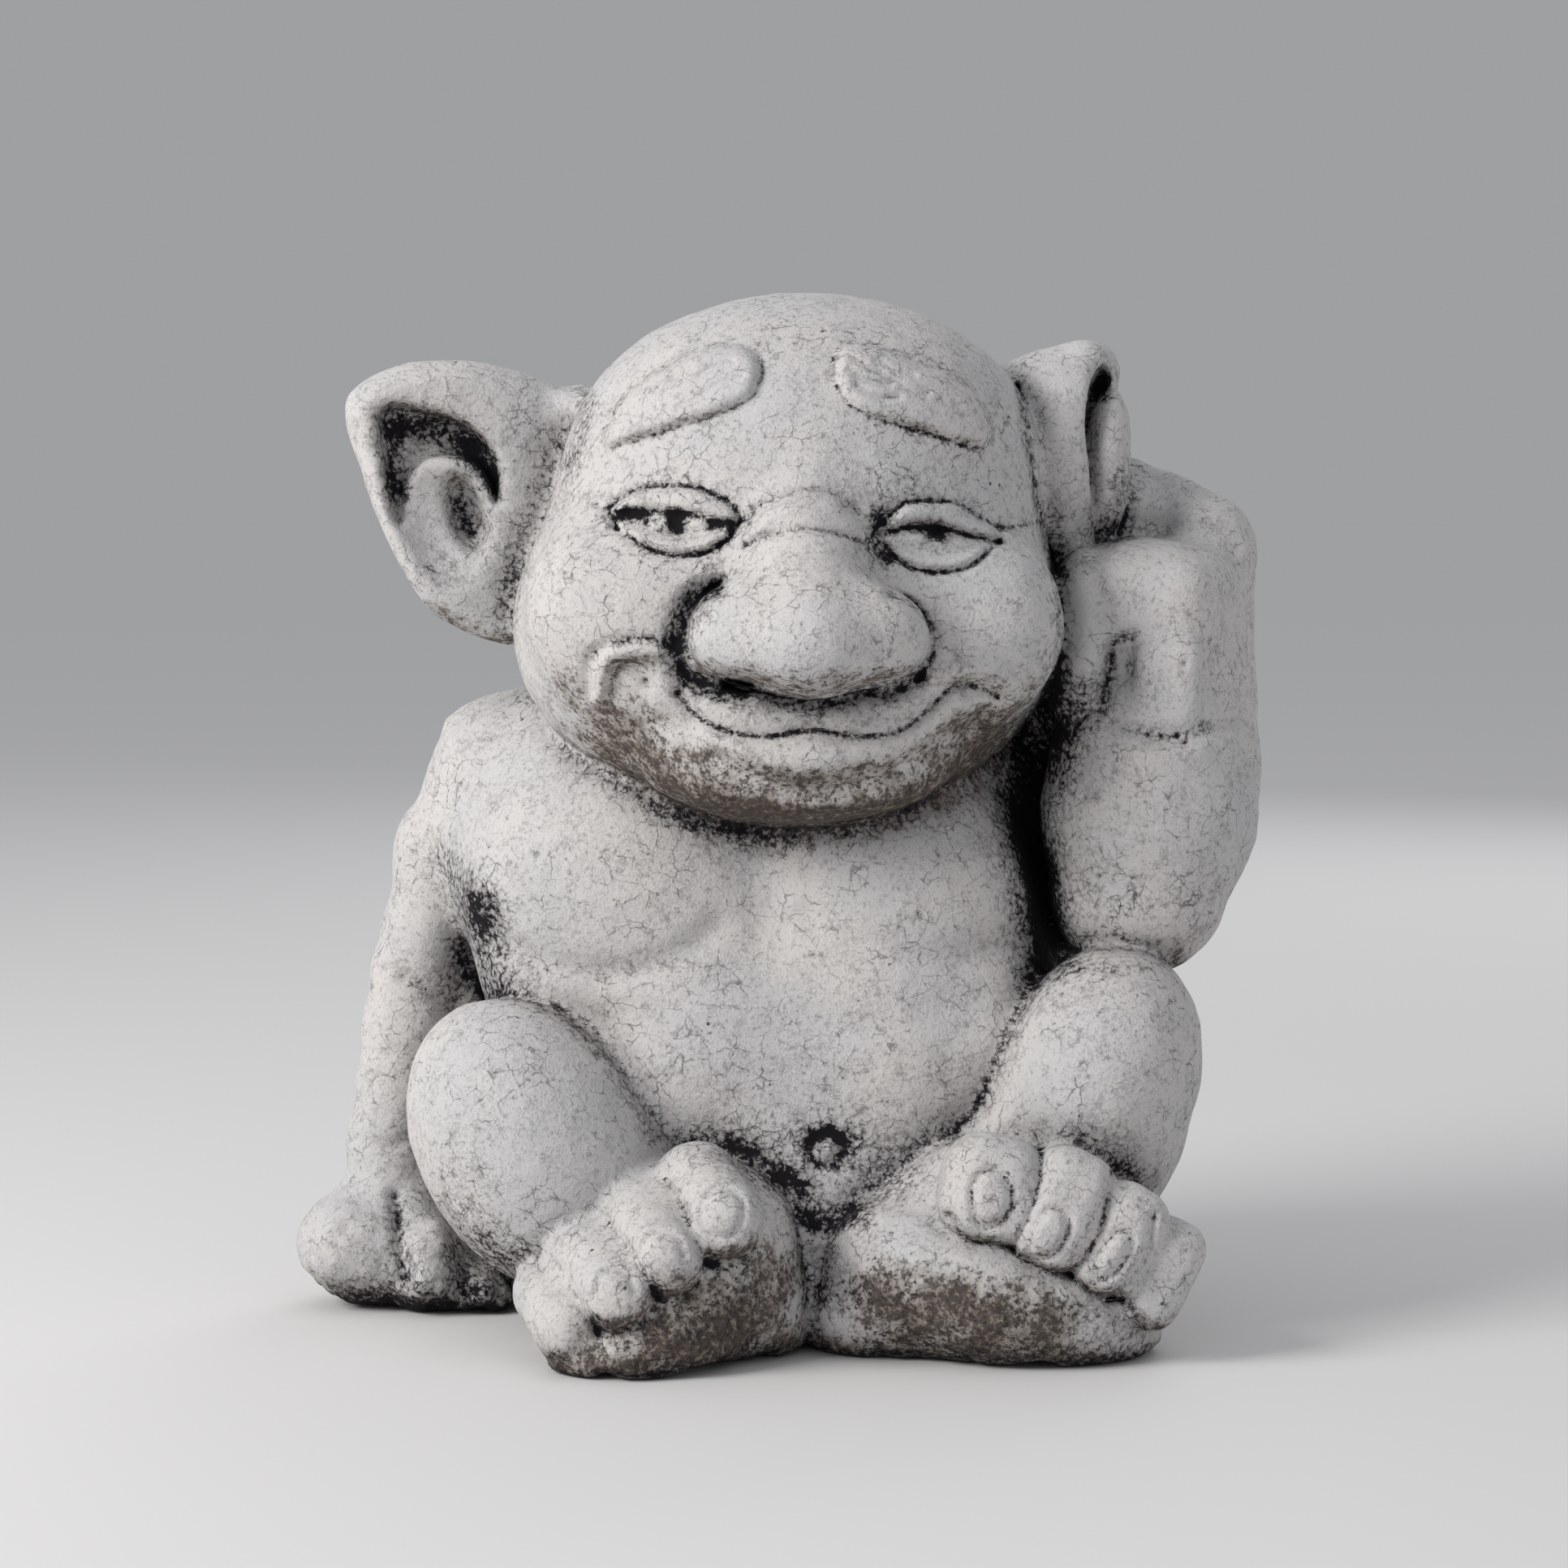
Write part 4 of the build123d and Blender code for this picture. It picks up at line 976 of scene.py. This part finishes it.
class Value:
    """Output of a shader node; arithmetic on it adds math nodes."""
    def __init__(self, net, socket):
        self.net, self.socket = net, socket

    def __add__(self, other):
        return self.net.math("ADD", self, other)

    def __sub__(self, other):
        return self.net.math("SUBTRACT", self, other)

    def __rsub__(self, other):
        return self.net.math("SUBTRACT", other, self)

    def __mul__(self, other):
        return self.net.math("MULTIPLY", self, other)


class Net:
    """Short names for the shader nodes used below; sizes are in millimetres."""
    def __init__(self, name):
        self.material, self.bsdf = principled(name)
        self.tree = self.material.node_tree
        self.position = self.node("TexCoord", {}, "Object")

    def put(self, socket, value):
        if isinstance(value, Value):
            self.tree.links.new(value.socket, socket)
        elif isinstance(value, tuple):
            socket.default_value = value + (1.0,) * (len(socket.default_value) - 3)
        else:
            socket.default_value = value

    def node(self, kind, inputs, output=0, **settings):
        node = self.tree.nodes.new("ShaderNode" + kind)
        for name, value in settings.items():
            setattr(node, name, value)
        for key, value in inputs.items():
            self.put(node.inputs[key], value)
        return Value(self, node.outputs[output])

    def noise(self, mm, detail=2.0, rough=0.5, output=0):
        return self.node("TexNoise", {"Vector": self.position, "Scale": 1000.0 / mm,
                                      "Detail": detail, "Roughness": rough}, output)

    def cells(self, mm, feature, vector):
        return self.node("TexVoronoi", {"Vector": vector, "Scale": 1000.0 / mm},
                         "Distance", feature=feature)

    def attribute(self, name):
        return self.node("Attribute", {}, "Fac", attribute_name=name)

    def math(self, operation, a, b, clamp=False):
        return self.node("Math", {0: a, 1: b}, operation=operation, use_clamp=clamp)

    def ramp(self, value, start, end, low=0.0, high=1.0):
        """Smooth step from low at start to high at end."""
        return self.node("MapRange", {"Value": value, "From Min": start, "From Max": end,
                                      "To Min": low, "To Max": high},
                         "Result", interpolation_type="SMOOTHSTEP")

    def mix(self, factor, a, b):
        return self.node("Mix", {"Factor": factor, 6: a, 7: b}, 2, data_type="RGBA")

    def warp(self, mm, amount, start=None):
        """Position pushed about by noise, for lines that wander."""
        return self.node("VectorMath", {0: self.noise(mm, output="Color"),
                                        1: (amount / 1000.0,) * 3,
                                        2: start or self.position}, operation="MULTIPLY_ADD")

    def bump(self, height, distance, strength):
        return self.node("Bump", {"Strength": strength, "Distance": distance / 1000.0,
                                  "Height": height})

    def surface(self, inputs):
        for name, value in inputs.items():
            self.put(self.bsdf.inputs[name], value)
        return self.material


STONE_WARM, STONE_COOL, STONE_GREY = (0.60, 0.575, 0.56), (0.55, 0.54, 0.54), (0.33, 0.32, 0.315)
GRAIN_DARK, GRAIN_PALE = (0.22, 0.215, 0.21), (0.80, 0.79, 0.77)
# grey and a near-black veil that stand for painted shade mixed with grime in recesses
SHADE_AND_GRIME_GREY, DIRT_AND_SHADE_VEIL = (0.30, 0.29, 0.285), (0.13, 0.122, 0.12)
# brown film colours, also used for the painted shade on undersides
BROWN_FILM_AND_SHADE_TAN, BROWN_FILM_AND_SHADE_MID, BROWN_FILM_AND_SHADE_DARK = (0.188, 0.150, 0.119), (0.080, 0.060, 0.045), (0.031, 0.023, 0.018)
DIRT, BLACK = (0.030, 0.026, 0.028), (0.0065, 0.0055, 0.008)


def cast_stone():
    """Weathered white cast stone: chalky mottling, grey specks, casting bubbles, craze cracks,
    black dirt that gathers in every hollow, and painted shade: grey, a dark veil and black laid
    into recesses where occlusion is high, and brown film on undersides."""
    net = Net("white_cast_stone")
    ramp, mix, noise = net.ramp, net.mix, net.noise
    occ, cavity, wide, dirt, film_and_shade = map(net.attribute, ("occ", "cav", "wide", "dirt", "sole"))
    big = noise(mm=34, rough=0.6)
    mid = noise(mm=6, detail=3, rough=0.65)
    fine = noise(mm=1.3, detail=3, rough=0.65)
    grain = noise(mm=0.5, rough=0.6)
    blot = noise(mm=2.6, detail=3, rough=0.7)

    # how dirty a place is: narrow hollows, wide occlusion, and the painted dirt and shade marks
    hollow = (ramp(cavity, start=0.25, end=2.6, high=0.85)
              + ramp(wide, start=0.3, end=2.0, high=0.55))
    near = hollow + ramp(occ, start=0.36, end=1.05, high=0.72) + dirt

    # clean stone with cloudy grey specks
    col = mix(ramp(big, start=0.35, end=0.65), STONE_WARM, STONE_COOL)
    cloud = mid * 0.40 + fine * 0.42 + grain * 0.30 + near * 0.16
    col = mix(ramp(cloud, start=0.54, end=0.72, high=0.72), col, STONE_GREY)
    col = mix(ramp(grain, start=0.56, end=0.78, high=0.50), col, GRAIN_DARK)
    col = mix(ramp(grain, start=0.44, end=0.24, high=0.30), col, GRAIN_PALE)
    # painted shade: grey laid on where wide occlusion is high, in recesses and between parts, with
    # some grime
    col = mix(ramp(occ, start=0.15, end=0.85, high=0.55), col, SHADE_AND_GRIME_GREY)

    # craze cracks: a wide net, faint in the open, and a close one in the creases
    wander = net.warp(mm=1.1, amount=0.9, start=net.warp(mm=5.0, amount=3.6))
    wide_edge = net.cells(5.0, "DISTANCE_TO_EDGE", wander)
    close_edge = net.cells(2.2, "DISTANCE_TO_EDGE", net.warp(mm=1.5, amount=1.9))
    gate = noise(mm=13, rough=0.6)
    show_wide = near * 1.1 + ramp(gate, start=0.38, end=0.62, low=0.10, high=0.72)
    show_close = near * 2.2 - 0.30 + ramp(gate, start=0.52, end=0.70, high=0.42)
    crack = net.math(
        "MAXIMUM",
        net.math("MULTIPLY", ramp(wide_edge, start=0.032, end=0.009), show_wide, clamp=True),
        net.math("MULTIPLY", ramp(close_edge, start=0.085, end=0.020), show_close, clamp=True))
    crack = crack * ramp(blot, start=0.38, end=0.58, low=0.12)

    # solid dirt spreads out from the cracks, leaving pale islands; the mask also takes in wide
    # occlusion, so the black and the soft dark veil it gives are partly painted shade in recesses
    grime_and_shade = (hollow * 0.50 + ramp(occ, start=0.55, end=1.12, high=0.85) + dirt
             + (0.16 - close_edge) * 1.5 + (blot - 0.5) * 1.5 + (fine - 0.5) * 0.9)
    solid = ramp(grime_and_shade, start=0.80, end=1.22)
    dirt_and_shade_veil = ramp(grime_and_shade, start=0.10, end=1.15, high=0.66)

    # loose black specks, thicker where dirt gathers
    specks = ramp((near + film_and_shade * 0.45) * 0.17 + fine * 0.62 + grain * 0.38,
                  start=0.64, end=0.72)

    # brown film: a tan stain with darker, ragged patches where it is thick; on undersides and under
    # the chin it is partly painted shade
    stain = film_and_shade + (mid - 0.5) * 1.6
    tan = ramp(stain, start=0.0, end=0.9) * ramp(film_and_shade, start=0.02, end=0.35, high=0.86)
    col = mix(tan, col, BROWN_FILM_AND_SHADE_TAN)
    chips = (blot - 0.5) * 1.1 + (fine - 0.5) * 1.7 + (grain - 0.5) * 0.8
    thick = stain * 0.66 - 0.13 + chips
    thick = ramp(thick, start=0.02, end=0.50) * ramp(film_and_shade, start=0.04, end=0.40)
    tone = mix(ramp(grain, start=0.35, end=0.68), BROWN_FILM_AND_SHADE_DARK, BROWN_FILM_AND_SHADE_MID)
    bubbles = net.cells(6.5, "F1", net.position)
    hole = net.math("MULTIPLY", ramp(bubbles, start=0.075, end=0.045),
                    ramp(gate, start=0.54, end=0.60), clamp=True)
    # layers over the stone, from the bottom up
    for cover, colour in ((thick * 0.82, tone), (dirt_and_shade_veil, DIRT_AND_SHADE_VEIL), (specks * 0.85, DIRT),
                          (crack * 0.80, DIRT), (solid * 0.97, BLACK), (hole * 0.85, DIRT)):
        col = mix(cover, col, colour)

    height = fine * 0.55 + grain * 0.36 + blot * 0.55 - crack * 0.35 - hole
    return net.surface({"Base Color": col, "Roughness": 0.92, "Specular IOR Level": 0.20,
                        "Normal": net.bump(height, distance=0.42, strength=0.75)})


def concrete(name, light, dark, grit):
    """Lean concrete or mortar with visible grit and voids."""
    net = Net(name)
    mottle = net.ramp(net.noise(mm=9, detail=4, rough=0.7), start=0.35, end=0.65)
    col = net.mix(mottle, dark, light)
    stones = net.cells(grit, "F1", net.warp(mm=4.0, amount=1.5))
    col = net.mix(net.ramp(stones, start=0.32, end=0.22, high=0.55), col, (0.30, 0.27, 0.24))
    voids = net.ramp(net.noise(mm=1.6), start=0.68, end=0.74)
    col = net.mix(voids, col, (0.06, 0.06, 0.055))
    height = net.noise(mm=1.2, detail=4, rough=0.7) + stones * 0.5 - voids
    return net.surface({"Base Color": col, "Roughness": 0.93,
                        "Normal": net.bump(height, distance=0.5, strength=0.8)})


def wire():
    """Drawn steel with a light bloom of rust."""
    net = Net("reinforcing_steel")
    rust = net.ramp(net.noise(mm=5, detail=5, rough=0.7), start=0.42, end=0.62)
    col = net.mix(rust, (0.27, 0.26, 0.26), (0.20, 0.075, 0.03))
    pits = net.ramp(net.noise(mm=1.1, detail=3), start=0.55, end=0.7)
    col = net.mix(pits, col, (0.09, 0.035, 0.02))
    height = net.noise(mm=0.6, detail=3)
    return net.surface({
        "Base Color": col,
        "Metallic": net.ramp(rust, start=0, end=1, low=0.95, high=0.1),
        "Roughness": net.ramp(rust, start=0, end=1, low=0.38, high=0.9),
        "Normal": net.bump(height, distance=0.15, strength=0.6)})


figure = to_object("figure", *sculpt(MESH_MM))
figure.data.materials.append(cast_stone())
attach(figure, "root")
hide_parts("facing_shell")

core = concrete("lean_concrete", light=(0.40, 0.39, 0.37), dark=(0.27, 0.265, 0.255), grit=6.0)
screed = concrete("screed_mortar", light=(0.50, 0.49, 0.46), dark=(0.37, 0.36, 0.34), grit=2.2)
steel = wire()
for node, material in (("core_fill", core), ("base_screed", screed), ("spine_rod", steel),
                       ("leaning_arm_wire", steel), ("raised_arm_wire", steel),
                       ("right_ear_wire", steel), ("left_ear_wire", steel),
                       ("tie_wires", steel)):
    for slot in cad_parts[node].material_slots:
        slot.material = material

# ------------------------------------------------------------------------ stage
FLOOR = (0.75, 0.742, 0.735)
SKY, SKY_STRENGTH = (0.94, 0.96, 1.0), 0.49
scene = bpy.context.scene
bpy.ops.mesh.primitive_plane_add(size=60.0, location=(0, 0, -0.0002))
floor = bpy.context.object
floor.name = "floor"
floor_material, floor_bsdf = principled("pale_floor")
floor_bsdf.inputs["Base Color"].default_value = FLOOR + (1.0,)
floor_bsdf.inputs["Roughness"].default_value = 1.0
floor_bsdf.inputs["Specular IOR Level"].default_value = 0.0
floor.data.materials.append(floor_material)

# the sky light, seen by the camera as the colour the far floor has
world = bpy.data.worlds.new("studio")
scene.world = world
world.use_nodes = True
nodes, links = world.node_tree.nodes, world.node_tree.links
light = nodes["Background"]
seen = nodes.new("ShaderNodeBackground")
for background, colour in ((light, SKY), (seen, tuple(a * b for a, b in zip(SKY, FLOOR)))):
    background.inputs["Color"].default_value = colour + (1,)
    background.inputs["Strength"].default_value = SKY_STRENGTH
ray = nodes.new("ShaderNodeLightPath")
mixer = nodes.new("ShaderNodeMixShader")
links.new(ray.outputs["Is Camera Ray"], mixer.inputs[0])
links.new(light.outputs[0], mixer.inputs[1])
links.new(seen.outputs[0], mixer.inputs[2])
output = next(n for n in nodes if n.type == "OUTPUT_WORLD")
links.new(mixer.outputs[0], output.inputs["Surface"])


def softbox(name, place, aim, size, watts, colour):
    lamp = bpy.data.lights.new(name, "AREA")
    lamp.shape = "SQUARE"
    lamp.size = size
    lamp.energy = watts
    lamp.color = colour
    ob = bpy.data.objects.new(name, lamp)
    scene.collection.objects.link(ob)
    ob.location = place
    ob.rotation_euler = (Vector(aim) - Vector(place)).to_track_quat("-Z", "Y").to_euler()


softbox("key", place=(-0.95, -0.62, 0.72), aim=(0, 0, 0.11), size=0.6, watts=13.2,
        colour=(1.0, 0.985, 0.965))
softbox("fill", place=(2.4, -2.0, 1.0), aim=(0, 0, 0.10), size=2.2, watts=2.8,
        colour=(0.93, 0.96, 1.0))
softbox("rim", place=(0.5, 1.1, 0.8), aim=(0, 0, 0.15), size=0.8, watts=3.0,
        colour=(1.0, 1.0, 1.0))

camera_data = bpy.data.cameras.new("camera")
camera = bpy.data.objects.new("camera", camera_data)
scene.collection.objects.link(camera)
camera.location = Vector(EYE / 1000)
camera.rotation_euler = (math.pi / 2 - VIEW_TILT, 0, 0)
camera_data.sensor_width = 36.0
camera_data.lens = 36.0 * VIEW_DISTANCE / PICTURE_WIDTH
camera_data.clip_end = 20
scene.camera = camera
scene.view_settings.view_transform = "Standard"
scene.view_settings.look = "None"
scene.view_settings.exposure = 0.0
